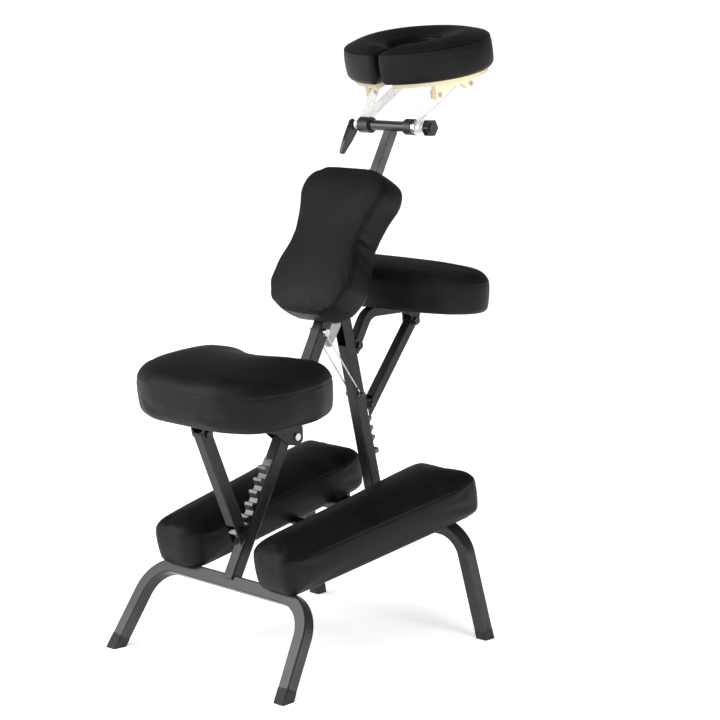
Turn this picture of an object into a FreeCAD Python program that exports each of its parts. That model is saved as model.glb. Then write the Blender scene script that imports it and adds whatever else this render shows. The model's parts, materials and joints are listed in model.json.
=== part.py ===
import FreeCAD, Part
import math
import os

# Kneeling massage chair, millimetres, +Z up. The user sits at the rear (-Y)
# and leans forward (+Y) on the chest cushion. X is the user's right.
# Two coplanar leg-and-post frames cross below the chest cushion: the rear
# frame (rear legs + main post) and the front frame (front legs + front beam).

V = FreeCAD.Vector
doc = FreeCAD.newDocument("massage_chair")
sheet = doc.addObject("Spreadsheet::Sheet", "dims")
DIMS = [
    # common tube
    ("tube_width", 25.4), ("tube_wall", 1.6), ("tube_corner", 3.0),
    ("thin_width", 20.0), ("thin_corner", 2.5),
    # overall placement
    ("shift_y", -247.3), ("shift_z", -6.0),
    # rear frame
    ("post_lean", 27.55), ("post_base_y", -5.0), ("post_base_z", 158.8), ("post_length", 790.0),
    ("rear_rake", 30.2), ("rear_tube_half", 211.5), ("rear_foot_half", 230.0), ("rear_leg_drop", 163.0),
    ("rear_leg_bend", 70.0), ("front_leg_bend", 52.0),
    # front frame
    ("beam_lean", 14.04), ("beam_base_y", 383.0), ("beam_base_z", 225.6), ("beam_pivot", 427.2),
    ("front_rake", 13.6), ("front_tube_y", 390.0), ("front_tube_half", 213.6), ("front_foot_half", 230.0),
    ("front_leg_drop", 218.0),
    # foot caps
    ("cap_width", 26.8), ("cap_height", 15.0),
    # hinge hardware
    ("plate_thick", 3.0), ("ear_thick", 2.5), ("bolt_radius", 4.0), ("bolt_head", 6.8), ("fit_gap", 0.05),
    ("plate_inner", 13.5),
    # stem and cradle
    ("stem_start", 610.0), ("stem_length", 305.0), ("bar_y", 413.6), ("bar_z", 978.8),
    ("bar_radius", 10.0), ("clutch_radius", 15.5), ("rod_radius", 4.0),
    ("arm_width", 20.0), ("arm_thick", 2.6),
    ("cradle_y", 501.5), ("cradle_z", 1073.0), ("cradle_tilt", 12.6), ("platform_thick", 8.0),
    ("face_half_x", 157.0), ("face_half_y", 119.0), ("face_thick", 68.0),
    # cushions
    ("seat_y", 0.0), ("seat_z", 476.5), ("seat_pitch", 4.0), ("seat_thick", 91.6), ("seat_board_thick", 9.5), ("seat_half", 179.0),
    ("arm_pad_z", 636.0), ("arm_pad_thick", 80.0), ("arm_board_thick", 9.5), ("arm_pad_half", 223.0),
    ("chest_thick", 58.0), ("chest_board_thick", 8.0),
    ("knee_tilt", 11.06), ("knee_base", 28.8), ("knee_thick", 78.4), ("knee_board_thick", 10.0),
    ("pad_round", 14.0),
]
for i, (name, val) in enumerate(DIMS, 1):
    sheet.set("A%d" % i, name)
    sheet.set("B%d" % i, str(val))
    sheet.setAlias("B%d" % i, name)
doc.recompute()
D = dict(DIMS)
SY = D["shift_y"]
SZ = D["shift_z"]
th = math.radians(D["post_lean"])
ph = math.radians(D["beam_lean"])
ROT_POST = FreeCAD.Rotation(V(1, 0, 0), -D["post_lean"])
ROT_BEAM = FreeCAD.Rotation(V(1, 0, 0), D["beam_lean"])

OUT = []          # (node name, object)


def keep(name, obj):
    obj.Label = name
    OUT.append((name, obj))
    return obj


def at(x=0.0, y=0.0, z=0.0, rot=None):
    return FreeCAD.Placement(V(x, y + SY, z + SZ), rot or FreeCAD.Rotation())


PF = at(0, D["post_base_y"], D["post_base_z"], ROT_POST)      # local z along the post, local y forward normal
BF = at(0, D["beam_base_y"], D["beam_base_z"], ROT_BEAM)
GF = at()


def post(n, s):
    """side view point (y, z) of a point n in front of the post axis, s along it"""
    return (D["post_base_y"] + s * math.sin(th) + n * math.cos(th),
            D["post_base_z"] + s * math.cos(th) - n * math.sin(th))


def beam(n, s):
    return (D["beam_base_y"] - s * math.sin(ph) + n * math.cos(ph),
            D["beam_base_z"] + s * math.cos(ph) + n * math.sin(ph))


def plane(body, role):
    for f in body.Origin.OriginFeatures:
        if f.Role == role:
            return f
    raise ValueError(role)


def newbody(name, placement=None):
    b = doc.addObject("PartDesign::Body", name)
    b.Label = name
    if placement is not None:
        b.Placement = placement
    return b


def sketch(body, role, name, offset=0.0):
    sk = body.newObject("Sketcher::SketchObject", name)
    sk.AttachmentSupport = [(plane(body, role), "")]
    sk.MapMode = "FlatFace"
    if offset:
        sk.AttachmentOffset = FreeCAD.Placement(V(0, 0, offset), FreeCAD.Rotation())
    return sk


def rounded(pts):
    """closed outline of lines and tangent arcs from corner points (u, v, radius)"""
    n = len(pts)
    segs = []
    ends = []
    for i in range(n):
        p0 = V(pts[i - 1][0], pts[i - 1][1], 0)
        p = V(pts[i][0], pts[i][1], 0)
        p1 = V(pts[(i + 1) % n][0], pts[(i + 1) % n][1], 0)
        r = pts[i][2] if len(pts[i]) > 2 else 0.0
        a = (p0 - p)
        b = (p1 - p)
        la, lb = a.Length, b.Length
        a.normalize()
        b.normalize()
        ang = math.acos(max(-1, min(1, a.dot(b))))
        if r <= 0.01 or abs(ang - math.pi) < 1e-3:
            ends.append((p, p, None))
            continue
        t = r / math.tan(ang / 2)
        lim = 0.499 * min(la, lb)
        if t > lim:
            t = lim
            r = t * math.tan(ang / 2)
        s, e = p + a * t, p + b * t
        mid = (a + b)
        mid.normalize()
        c = p + mid * (r / math.sin(ang / 2))
        m = c - mid * r
        ends.append((s, e, m))
    for i in range(n):
        s, e, m = ends[i]
        if m is not None:
            segs.append(Part.Arc(s, m, e))
        nxt = ends[(i + 1) % n][0]
        if (nxt - e).Length > 1e-4:
            segs.append(Part.LineSegment(e, nxt))
    return segs


def outline(sk, pts):
    for g in rounded(pts):
        sk.addGeometry(g, False)


def circle(sk, u, v, expr):
    """circle whose radius is bound to an expression over the sheet"""
    import Sketcher
    i = sk.addGeometry(Part.Circle(V(u, v, 0), V(0, 0, 1), 3.0), False)
    c = sk.addConstraint(Sketcher.Constraint("Radius", i, 3.0))
    sk.setExpression("Constraints[%d]" % c, expr)
    return i


def rectangle(sk, u, v, wexpr, hexpr, w, ht):
    """rectangle centred on (u, v), width and height bound to the sheet"""
    import Sketcher
    K = Sketcher.Constraint
    a, b, c, d = (V(u - w / 2, v - ht / 2, 0), V(u + w / 2, v - ht / 2, 0),
                  V(u + w / 2, v + ht / 2, 0), V(u - w / 2, v + ht / 2, 0))
    g = [sk.addGeometry(Part.LineSegment(p, q), False) for p, q in ((a, b), (b, c), (c, d), (d, a))]
    for i in range(4):
        sk.addConstraint(K("Coincident", g[i], 2, g[(i + 1) % 4], 1))
    for i in (0, 2):
        sk.addConstraint(K("Horizontal", g[i]))
    for i in (1, 3):
        sk.addConstraint(K("Vertical", g[i]))
    cw = sk.addConstraint(K("DistanceX", g[0], 1, g[0], 2, w))
    sk.setExpression("Constraints[%d]" % cw, wexpr)
    ch = sk.addConstraint(K("DistanceY", g[1], 1, g[1], 2, ht))
    sk.setExpression("Constraints[%d]" % ch, hexpr)
    m = sk.addGeometry(Part.Point(V(u, v, 0)), True)
    sk.addConstraint(K("Symmetric", g[0], 1, g[2], 1, m, 1))
    if abs(u) < 1e-9 and abs(v) < 1e-9:
        sk.addConstraint(K("Coincident", m, 1, -1, 1))
    else:
        sk.addConstraint(K("DistanceX", m, 1, u))
        sk.addConstraint(K("DistanceY", m, 1, v))
    return g


def pad(body, sk, expr=None, value=None, both=False, rev=False, name="Pad"):
    p = body.newObject("PartDesign::Pad", name)
    p.Profile = sk
    if value is not None:
        p.Length = value
    if expr:
        p.setExpression("Length", expr)
    if both:
        p.Midplane = True
    p.Reversed = rev
    return p


def pocket(body, sk, value, both=True, rev=False, name="Pocket"):
    p = body.newObject("PartDesign::Pocket", name)
    p.Profile = sk
    p.Length = value
    if both:
        p.Midplane = True
    p.Reversed = rev
    return p


def fillet(body, base, pick, expr, name="Fillet"):
    doc.recompute()
    edges = ["Edge%d" % (i + 1) for i, e in enumerate(base.Shape.Edges) if pick(e)]
    f = body.newObject("PartDesign::Fillet", name)
    f.Base = (base, edges)
    f.setExpression("Radius", expr)
    return f


def along(e, axis, minlen=0.0):
    """edge is a straight line along the axis"""
    if not isinstance(e.Curve, Part.Line) or e.Length < minlen:
        return False
    d = e.Vertexes[1].Point - e.Vertexes[0].Point
    d.normalize()
    return abs(d.dot(axis)) > 0.999


def square_tube(name, wname, wallname, cname, placement, start, length_expr, length):
    """square tube along local z, corners rounded outside"""
    b = newbody(name, placement)
    sk = sketch(b, "XY_Plane", name + "_section", start)
    w = D[wname]
    rectangle(sk, 0, 0, "dims.%s" % wname, "dims.%s" % wname, w, w)
    p = pad(b, sk, length_expr, length, name=name + "_pad")
    f = fillet(b, p, lambda e: along(e, V(0, 0, 1), 20), "dims.%s" % cname, name + "_corners")
    sk2 = sketch(b, "XY_Plane", name + "_bore", start)
    wi = w - 2 * D[wallname]
    rectangle(sk2, 0, 0, "dims.%s - 2 * dims.%s" % (wname, wallname), "dims.%s - 2 * dims.%s" % (wname, wallname), wi, wi)
    q = b.newObject("PartDesign::Pocket", name + "_hollow")
    q.Profile = sk2
    q.Length = length + 2
    q.Reversed = True
    q.Midplane = False
    doc.recompute()
    if q.Shape.Volume > f.Shape.Volume * 0.8:
        q.Reversed = False
        doc.recompute()
    return b


def plates(name, placement, pts, xs, thick_expr, holes=(), thick=None, loose=False):
    """side plates cut from sheet: outline in (y, z), one solid for each inner face x"""
    solids = []
    t = thick if thick is not None else D["plate_thick"]
    for k, x in enumerate(xs):
        b = newbody("%s_%d" % (name, k) if len(xs) > 1 else name, placement)
        side = 1 if x >= 0 else -1
        sk = sketch(b, "YZ_Plane", "%s_profile_%d" % (name, k), x)
        outline(sk, pts)
        for (hy, hz, expr) in holes:
            circle(sk, hy, hz, expr)
        pad(b, sk, thick_expr, t, rev=(side < 0), name="%s_pad_%d" % (name, k))
        solids.append(b)
    if loose:
        return solids
    if len(solids) == 1:
        return keep(name, solids[0])
    return group(name, solids)


def group(name, objs):
    c = doc.addObject("Part::Compound", name)
    c.Links = objs
    return keep(name, c)


def slab(name, placement, role, pts, expr, value, holes=(), offset=0.0, rev=False, round_expr=None, both=False, top_only=False):
    """flat piece with a rounded outline, thickness bound to the sheet"""
    b = newbody(name, placement)
    sk = sketch(b, role, name + "_outline", offset)
    outline(sk, pts)
    for (hu, hv, e) in holes:
        circle(sk, hu, hv, e)
    p = pad(b, sk, expr, value, rev=rev, both=both, name=name + "_pad")
    if round_expr:
        doc.recompute()
        def rim(e):
            bb = e.BoundBox
            flat = bb.ZLength < 1e-4
            if role == "XZ_Plane":
                flat = bb.YLength < 1e-4
            return flat
        fillet(b, p, rim, round_expr, name + "_rounding")
    return keep(name, b)


def wrapped(name, placement, role, pts, expr, value, board, offset=0.0):
    """upholstered pad closed over the edges of its board: the board sits in a pocket in its back"""
    slab(name, placement, role, pts, expr, value, offset=offset, round_expr="dims.pad_round")
    body = OUT.pop()[1]
    body.Label = name + "_block"
    return keep(name, cut(name + "_pocketed", body, dict(OUT)[board]))


def xcyl(name, x0, x1, y, z, rexpr, bore=None):
    """cylinder along X between x0 and x1 (Part primitive)"""
    c = doc.addObject("Part::Cylinder", name)
    c.setExpression("Radius", rexpr)
    c.Height = x1 - x0
    c.Placement = at(x0, y, z, FreeCAD.Rotation(V(0, 1, 0), 90))
    return c


def fuse(name, objs):
    f = doc.addObject("Part::MultiFuse", name)
    f.Shapes = objs
    return f


def cut(name, base, tool):
    c = doc.addObject("Part::Cut", name)
    c.Base = base
    c.Tool = tool
    return c


def xbolt(name, x0, x1, y, z, rexpr="dims.bolt_radius - dims.fit_gap", head=4.5, nut=4.5, hexpr="dims.bolt_head", washer=0.0):
    """through bolt along X: shank from x0 to x1, domed head on +X, nut on -X"""
    parts = [xcyl(name + "_shank", x0 - nut, x1 + head * 0.4, y, z, rexpr)]
    h1 = xcyl(name + "_head", x1, x1 + head, y, z, hexpr)
    parts.append(h1)
    nt = doc.addObject("Part::Prism", name + "_nut")
    nt.Polygon = 6
    nt.setExpression("Circumradius", hexpr)
    nt.Height = nut
    nt.Placement = at(x0 - nut, y, z, FreeCAD.Rotation(V(0, 1, 0), 90))
    parts.append(nt)
    if washer:
        parts.append(xcyl(name + "_washer_r", x1 - 0.0, x1 + 1.2, y, z, hexpr + " + 2.4"))
        parts.append(xcyl(name + "_washer_l", x0 - 1.2, x0, y, z, hexpr + " + 2.4"))
    return fuse(name, parts)


# ---------------------------------------------------------------- leg frames
def leg_frame(name, placement, half, foot, drop, r):
    """planar U of square tube: cross tube along X, legs spreading down; local plane XY,
    local y down the legs, local z out of the frame"""
    b = newbody(name, placement)
    path = sketch(b, "XY_Plane", name + "_path")
    # corner between the cross tube and the leg
    p0, p1, p2 = V(0, 0, 0), V(half, 0, 0), V(foot, drop, 0)
    a = V(-1, 0, 0)
    d = p2 - p1
    d.normalize()
    ang = math.acos(a.dot(d))
    t = r / math.tan(ang / 2)
    s, e = p1 + a * t, p1 + d * t
    mid = a + d
    mid.normalize()
    c = p1 + mid * (r / math.sin(ang / 2))
    m = c - mid * r
    path.addGeometry(Part.LineSegment(p0, s), False)
    path.addGeometry(Part.Arc(s, m, e), False)
    path.addGeometry(Part.LineSegment(e, p2), False)
    w = D["tube_width"]
    prof = sketch(b, "YZ_Plane", name + "_section")
    k, cr = w / 2, D["tube_corner"]
    outline(prof, [(-k, -k, cr), (k, -k, cr), (k, k, cr), (-k, k, cr)])
    wi = k - D["tube_wall"]
    outline(prof, [(-wi, -wi, 1.4), (wi, -wi, 1.4), (wi, wi, 1.4), (-wi, wi, 1.4)])
    pipe = b.newObject("PartDesign::AdditivePipe", name + "_pipe")
    pipe.Profile = prof
    pipe.Spine = (path, ["Edge1", "Edge2", "Edge3"])
    doc.recompute()
    mir = b.newObject("PartDesign::Mirrored", name + "_mirror")
    mir.Originals = [pipe]
    mir.MirrorPlane = (plane(b, "YZ_Plane"), [""])
    b.Tip = mir
    doc.recompute()
    return b


# rear: local y points down and rearward, so the frame plane carries the post
rr = math.radians(D["rear_rake"])
REAR = at(0, -1.0, D["post_base_z"], FreeCAD.Rotation(V(1, 0, 0), -(90 + D["rear_rake"])))
keep("rear_leg_frame", leg_frame("rear_leg_frame", REAR, D["rear_tube_half"], D["rear_foot_half"], D["rear_leg_drop"], D["rear_leg_bend"]))
FRONT = at(0, D["front_tube_y"], D["beam_base_z"], FreeCAD.Rotation(V(1, 0, 0), -(90 - D["front_rake"])))
keep("front_leg_frame", leg_frame("front_leg_frame", FRONT, D["front_tube_half"], D["front_foot_half"], D["front_leg_drop"], D["front_leg_bend"]))


def foot_caps(name, placement, half, foot, drop):
    """rubber caps pushed on the leg ends, soles flat on the floor"""
    out = []
    for k, sx in enumerate((-1, 1)):
        d = V(sx * (foot - half), drop, 0)
        d.normalize()
        end = V(sx * foot, drop, 0)
        w = D["cap_width"]
        rot = FreeCAD.Rotation(V(0, 0, 1), d)
        loc = FreeCAD.Placement(end - d * (D["cap_height"] - 9.0), rot)
        glob = placement.multiply(loc)
        # square the cap to the tube: turn it so its sides follow the tube sides
        box = doc.addObject("Part::Box", "%s_block_%d" % (name, k))
        box.setExpression("Length", "dims.cap_width")
        box.setExpression("Width", "dims.cap_width")
        box.Height = 40
        nrm = placement.Rotation.multVec(V(0, 0, 1))
        dirg = placement.Rotation.multVec(d)
        xg = nrm.cross(dirg)
        m = FreeCAD.Rotation(xg, nrm.negative() if False else dirg.cross(xg), dirg, "ZXY")
        base = placement.multVec(end - d * (D["cap_height"] - 6.0))
        off = m.multVec(V(-w / 2, -w / 2, 0))
        box.Placement = FreeCAD.Placement(base + off, m)
        doc.recompute()
        vert = ["Edge%d" % (i + 1) for i, e in enumerate(box.Shape.Edges) if e.Length > 39.9]
        fl = doc.addObject("Part::Fillet", "%s_round_%d" % (name, k))
        fl.Base = box
        fl.Edges = [(int(v[4:]), 4.0, 4.0) for v in vert]
        floor = doc.addObject("Part::Box", "%s_floor_%d" % (name, k))
        floor.Length, floor.Width, floor.Height = 200, 200, 100
        floor.Placement = FreeCAD.Placement(V(base.x - 100, base.y - 100, -100), FreeCAD.Rotation())
        c1 = cut("%s_flat_%d" % (name, k), fl, floor)
        # socket for the tube end
        sock = doc.addObject("Part::Box", "%s_socket_%d" % (name, k))
        sock.setExpression("Length", "dims.tube_width")
        sock.setExpression("Width", "dims.tube_width")
        sock.Height = D["cap_height"] - 6.0 + 0.0
        off2 = m.multVec(V(-D["tube_width"] / 2, -D["tube_width"] / 2, 0))
        sock.Placement = FreeCAD.Placement(base + off2, m)
        out.append(cut("%s_cap_%d" % (name, k), c1, sock))
    return group(name, out)


foot_caps("rear_foot_caps", REAR, D["rear_tube_half"], D["rear_foot_half"], D["rear_leg_drop"])
foot_caps("front_foot_caps", FRONT, D["front_tube_half"], D["front_foot_half"], D["front_leg_drop"])


def minus_square_tube(name, body, placement, length, w):
    """cope a tube end where it meets a square cross tube"""
    box = doc.addObject("Part::Box", name + "_cope")
    box.Length, box.Width, box.Height = length, w, w
    box.Placement = placement.multiply(FreeCAD.Placement(V(-length / 2, -w / 2, -w / 2), FreeCAD.Rotation()))
    return cut(name, body, box)


# ---------------------------------------------------------------- main post
post_raw = square_tube("main_post_tube", "tube_width", "tube_wall", "tube_corner", PF, 6.0, "dims.post_length - 6", D["post_length"] - 6)
# through holes for the hinge bolts
upper_bolt_s = 498.5
holes = [xcyl("post_hole_a", -20, 20, *post(0, upper_bolt_s), rexpr="dims.bolt_radius")]
post_cut = cut("main_post_drilled", post_raw, holes[0])
post_tube = minus_square_tube("main_post_coped", post_cut, REAR, 80, D["tube_width"])

# plastic guide collar in the post mouth, running fit on the stem
collar = newbody("post_collar", PF)
sk = sketch(collar, "XY_Plane", "collar_rim", D["post_length"])
outline(sk, [(-14.2, -14.2, 3.5), (14.2, -14.2, 3.5), (14.2, 14.2, 3.5), (-14.2, 14.2, 3.5)])
kk = D["thin_width"] / 2 + 0.08
outline(sk, [(-kk, -kk, 2.4), (kk, -kk, 2.4), (kk, kk, 2.4), (-kk, kk, 2.4)])
pad(collar, sk, None, 7.0, name="collar_rim_pad")
sk = sketch(collar, "XY_Plane", "collar_sleeve", D["post_length"])
ko = D["tube_width"] / 2 - D["tube_wall"]
outline(sk, [(-ko, -ko, 0.6), (ko, -ko, 0.6), (ko, ko, 0.6), (-ko, ko, 0.6)])
outline(sk, [(-kk, -kk, 2.4), (kk, -kk, 2.4), (kk, kk, 2.4), (-kk, kk, 2.4)])
pad(collar, sk, None, 30.0, rev=True, name="collar_sleeve_pad")
keep("post_collar", collar)

# ---------------------------------------------------------------- front beam
beam_raw = square_tube("front_beam_tube", "tube_width", "tube_wall", "tube_corner", BF, 6.0, "dims.beam_pivot + 12.7 - 6", D["beam_pivot"] + 12.7 - 6)
HY, HZ = beam(0, D["beam_pivot"])
SLOT = 86.0
# rear wall opened over the hinge ears
slot = doc.addObject("Part::Box", "front_beam_slot")
slot.Length, slot.Width, slot.Height = 22.2, 20.0, SLOT
slot.Placement = BF.multiply(FreeCAD.Placement(V(-11.1, -20.0, D["beam_pivot"] + 14 - SLOT), FreeCAD.Rotation()))
# rounded top about the pivot
keepr = doc.addObject("Part::Box", "front_beam_topblock")
keepr.Length, keepr.Width, keepr.Height = 30, 40, 30
keepr.Placement = BF.multiply(FreeCAD.Placement(V(-15, -20, D["beam_pivot"]), FreeCAD.Rotation()))
topc = xcyl("front_beam_topround", -20, 20, HY, HZ, "dims.tube_width / 2")
topcut = cut("front_beam_topcut", keepr, topc)
hole_h = xcyl("front_beam_hole", -20, 20, HY, HZ, "dims.bolt_radius")
lower_bolt_s = 251.0
hole_l = xcyl("front_beam_hole_low", -20, 20, *beam(0, lower_bolt_s), rexpr="dims.bolt_radius")
b1 = cut("front_beam_a", beam_raw, fuse("front_beam_tools", [slot, topcut, hole_h, hole_l]))
keep("front_beam", minus_square_tube("front_beam", b1, FRONT, 80, D["tube_width"]))


def ratchet(name, placement, side, s_first, count, pitch, depth, base_t, half, stop):
    """toothed strip on one face of a square tube. side -1 rear face, +1 front face.
    Each tooth is a hook that opens upward; the stop lug sits under the first one"""
    b = newbody(name, placement)
    sk = sketch(b, "YZ_Plane", name + "_profile")
    k = D["tube_width"] / 2
    f = k + base_t
    pts = []
    s0, s1 = s_first, s_first + count * pitch
    pts.append((side * k, stop[0] - 8, 0))
    pts.append((side * (k + stop[1]), stop[0] - 8, 2.0))
    pts.append((side * (k + stop[1]), stop[0] + 3, 1.5))
    pts.append((side * (k + stop[1] - 4.5), stop[0], 1.5))
    pts.append((side * f, stop[0], 1.0))
    for i in range(count):
        a = s_first + i * pitch
        pts.append((side * f, a, 0.8))
        pts.append((side * (k + depth), a + pitch * 0.30, 1.5))
        pts.append((side * (k + depth), a + pitch * 0.62, 1.2))
        pts.append((side * (k + depth - 3.4), a + pitch * 0.50, 0.8))
        pts.append((side * f, a + pitch * 0.62, 1.0))
    pts.append((side * f, s1 + 6, 1.0))
    pts.append((side * k, s1 + 6, 0))
    outline(sk, pts)
    pad(b, sk, None, 2 * half, both=True, name=name + "_pad")
    return keep(name, b)


ratchet("seat_ratchet", PF, -1, 113.0, 5, 24.0, 11.5, 3.0, 10.4, (91.4, 24.5))
ratchet("armrest_ratchet", BF, 1, 146.0, 3, 20.0, 11.0, 3.0, 7.0, (128.0, 14.0))

# ---------------------------------------------------------------- frame fold hinge
# zinc bracket on the post's front face: flat back plate and two ears around the beam pivot
k = D["tube_width"] / 2
def pf_pts(seq):
    return [(n, s, r) for (n, s, r) in seq]
n_h = (HY - D["post_base_y"]) * math.cos(th) - (HZ - D["post_base_z"]) * math.sin(th)
s_h = (HY - D["post_base_y"]) * math.sin(th) + (HZ - D["post_base_z"]) * math.cos(th)
ears = []
for i, x in enumerate((-9.4, 9.4)):
    b = newbody("fold_ear_%d" % i, PF)
    sk = sketch(b, "YZ_Plane", "fold_ear_profile_%d" % i, x)
    outline(sk, [(k + 2.0, 478, 0), (k + 20, 478, 9), (k + 23.0, 500, 8), (n_h + 9.5, s_h - 14, 8), (n_h + 9.2, s_h + 9.2, 9),
                 (k + 2.0, s_h + 16, 3)])
    circle(sk, n_h, s_h, "dims.bolt_radius")
    pad(b, sk, "dims.ear_thick", D["ear_thick"], rev=(x > 0), name="fold_ear_pad_%d" % i)
    ears.append(b)
bp = newbody("fold_back_plate", PF)
sk = sketch(bp, "YZ_Plane", "fold_back_profile")
outline(sk, [(k, 478, 0), (k + 2.0, 478, 0), (k + 2.0, s_h + 16, 0), (k, s_h + 16, 0)])
pad(bp, sk, None, 18.8, both=True, name="fold_back_pad")
keep("fold_hinge_bracket", fuse("fold_hinge_bracket", ears + [bp]))
fold_bolt = xbolt("fold_hinge_bolt", -12.9, 12.9, HY, HZ)

# ---------------------------------------------------------------- spread limit cables
UY, UZ = post(0, upper_bolt_s)
LY, LZ = beam(0, lower_bolt_s)
upper_bolt = xbolt("cable_bolt_upper", -16.9, 16.9, UY, UZ)
lower_bolt = xbolt("cable_bolt_lower", -16.9, 16.9, LY, LZ)
EX = 14.8                                     # cable plane, just outside the tube walls
cdir = V(0, LY - UY, LZ - UZ)
clen = cdir.Length
cdir.normalize()
CROT = FreeCAD.Rotation(V(0, 0, 1), cdir)
for side, sx in (("left", -1), ("right", 1)):
    x = sx * EX
    cab = doc.addObject("Part::Cylinder", "spread_cable_%s" % side)
    cab.Radius = 1.5
    cab.Height = clen - 17.0 - 20.2
    p = V(x, UY, UZ) + cdir * 17.0
    cab.Placement = at(p.x, p.y, p.z, CROT)
    keep("spread_cable_%s" % side, cab)
for tag, (yy, zz), sg in (("upper", (UY, UZ), 1), ("lower", (LY, LZ), -1)):
    eyes = []
    for i, sx in enumerate((-1, 1)):
        x = sx * EX
        o = xcyl("eye_ring_%s%d" % (tag, i), x - 1.9, x + 1.9, yy, zz, "dims.bolt_radius + 3.2")
        f = doc.addObject("Part::Cylinder", "eye_ferrule_%s%d" % (tag, i))
        f.Radius = 1.95
        f.Height = 12.5
        q = V(x, yy, zz) + cdir * sg * 4.5
        f.Placement = at(q.x, q.y, q.z, FreeCAD.Rotation(V(0, 0, 1), cdir * sg))
        fu = fuse("eye_body_%s%d" % (tag, i), [o, f])
        c = xcyl("eye_hole_%s%d" % (tag, i), x - 6, x + 6, yy, zz, "dims.bolt_radius")
        eyes.append(cut("eye_%s%d" % (tag, i), fu, c))
    group("cable_eyelets_%s" % tag, eyes)

# ---------------------------------------------------------------- seat
SPY, SPZ = 149.0, 413.0                       # seat pivot
b_gap = "dims.bolt_radius"
# lugs welded on the post's front face
sp_n = (SPY - D["post_base_y"]) * math.cos(th) - (SPZ - D["post_base_z"]) * math.sin(th)
sp_s = (SPY - D["post_base_y"]) * math.sin(th) + (SPZ - D["post_base_z"]) * math.cos(th)
post_lugs = plates("seat_pivot_lugs", PF, [(k, sp_s - 14, 0), (sp_n + 3, sp_s - 9.5, 7), (sp_n + 8.5, sp_s, 7), (sp_n + 3, sp_s + 9.5, 7), (k, sp_s + 14, 0)],
       (-8.5, 8.5), "dims.plate_thick", [(sp_n, sp_s, b_gap)], loose=True)
seat_bolt = xbolt("seat_pivot_bolt", -16.7, 16.7, SPY, SPZ)
group("post_bolts", [fold_bolt, upper_bolt, seat_bolt])
zt = D["seat_z"] - D["plate_thick"]      # underside of the mount plate at the seat's middle
SF = at(0, D["seat_y"], D["seat_z"], FreeCAD.Rotation(V(1, 0, 0), D["seat_pitch"]))   # underside of the seat board
seat_sides = plates("seat_side_plates", GF, [(10, zt + 5, 0), (112, zt + 12, 3), (152, zt - 12, 12), (165, 428, 8), (166, 402, 9), (148, 396, 6), (128, 400, 10), (98, 424, 14), (40, 440, 12), (10, 446, 4)],
       (-13.5, 13.5), "dims.plate_thick", [(SPY, SPZ, b_gap)], loose=True)
# flat plate under the board that joins the hinge plates and the strut clevis
mp = newbody("seat_mount_plate", SF)
sk = sketch(mp, "XY_Plane", "seat_mount_outline", -D["plate_thick"])
outline(sk, [(-32, -100, 8), (32, -100, 8), (32, 92, 8), (-32, 92, 8)])
pad(mp, sk, "dims.plate_thick", D["plate_thick"], name="seat_mount_pad")
hs = D["seat_half"]
seat_pts = [(0, -117.8, 0), (92, -114.2, 110), (159, -85.6, 84), (hs, -27.6, 84), (hs - 1, 50.6, 74), (152, 111.3, 44), (88, 116.8, 56), (36, 91.1, 56), (0, 85.6, 0)]
def sym(pts):
    return pts + [(-p[0],) + tuple(p[1:]) for p in reversed(pts) if abs(p[0]) > 1e-9]
def shrink(pts, d, cx=0.0, cy=0.0, hx=1.0, hy=1.0):
    return [(cx + (p[0] - cx) * (1 - d / hx), cy + (p[1] - cy) * (1 - d / hy), p[2]) for p in pts]
full_seat = [p for p in sym(seat_pts) if not (abs(p[0]) < 1e-9)]
slab("seat_board", SF, "XY_Plane", shrink(full_seat, 19, 0, 0, 179, 115), "dims.seat_board_thick", D["seat_board_thick"])
wrapped("seat_cushion", SF, "XY_Plane", full_seat, "dims.seat_thick", D["seat_thick"], "seat_board")
# strut clevis and strut
STY, STZ = -68.5, 449.0
ETY, ETZ = 12.7, 257.5
seat_clev = plates("seat_strut_clevis", GF, [(STY - 17, zt + 5, 0), (STY - 9, STZ - 9, 6), (STY + 9, STZ - 9, 6), (STY + 17, zt + 5, 0)], (-13.5, 13.5), "dims.plate_thick", [(STY, STZ, b_gap)], loose=True)
above = doc.addObject("Part::Box", "seat_bracket_trim")
above.Length, above.Width, above.Height = 120, 320, 40
above.Placement = SF.multiply(FreeCAD.Placement(V(-60, -160, 0), FreeCAD.Rotation()))
keep("seat_bracket", cut("seat_bracket", fuse("seat_bracket_welded", seat_sides + seat_clev + [mp]), above))
keep("seat_strut_pivot_bolt", xbolt("seat_strut_bolt", -16.7, 16.7, STY, STZ))


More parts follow.
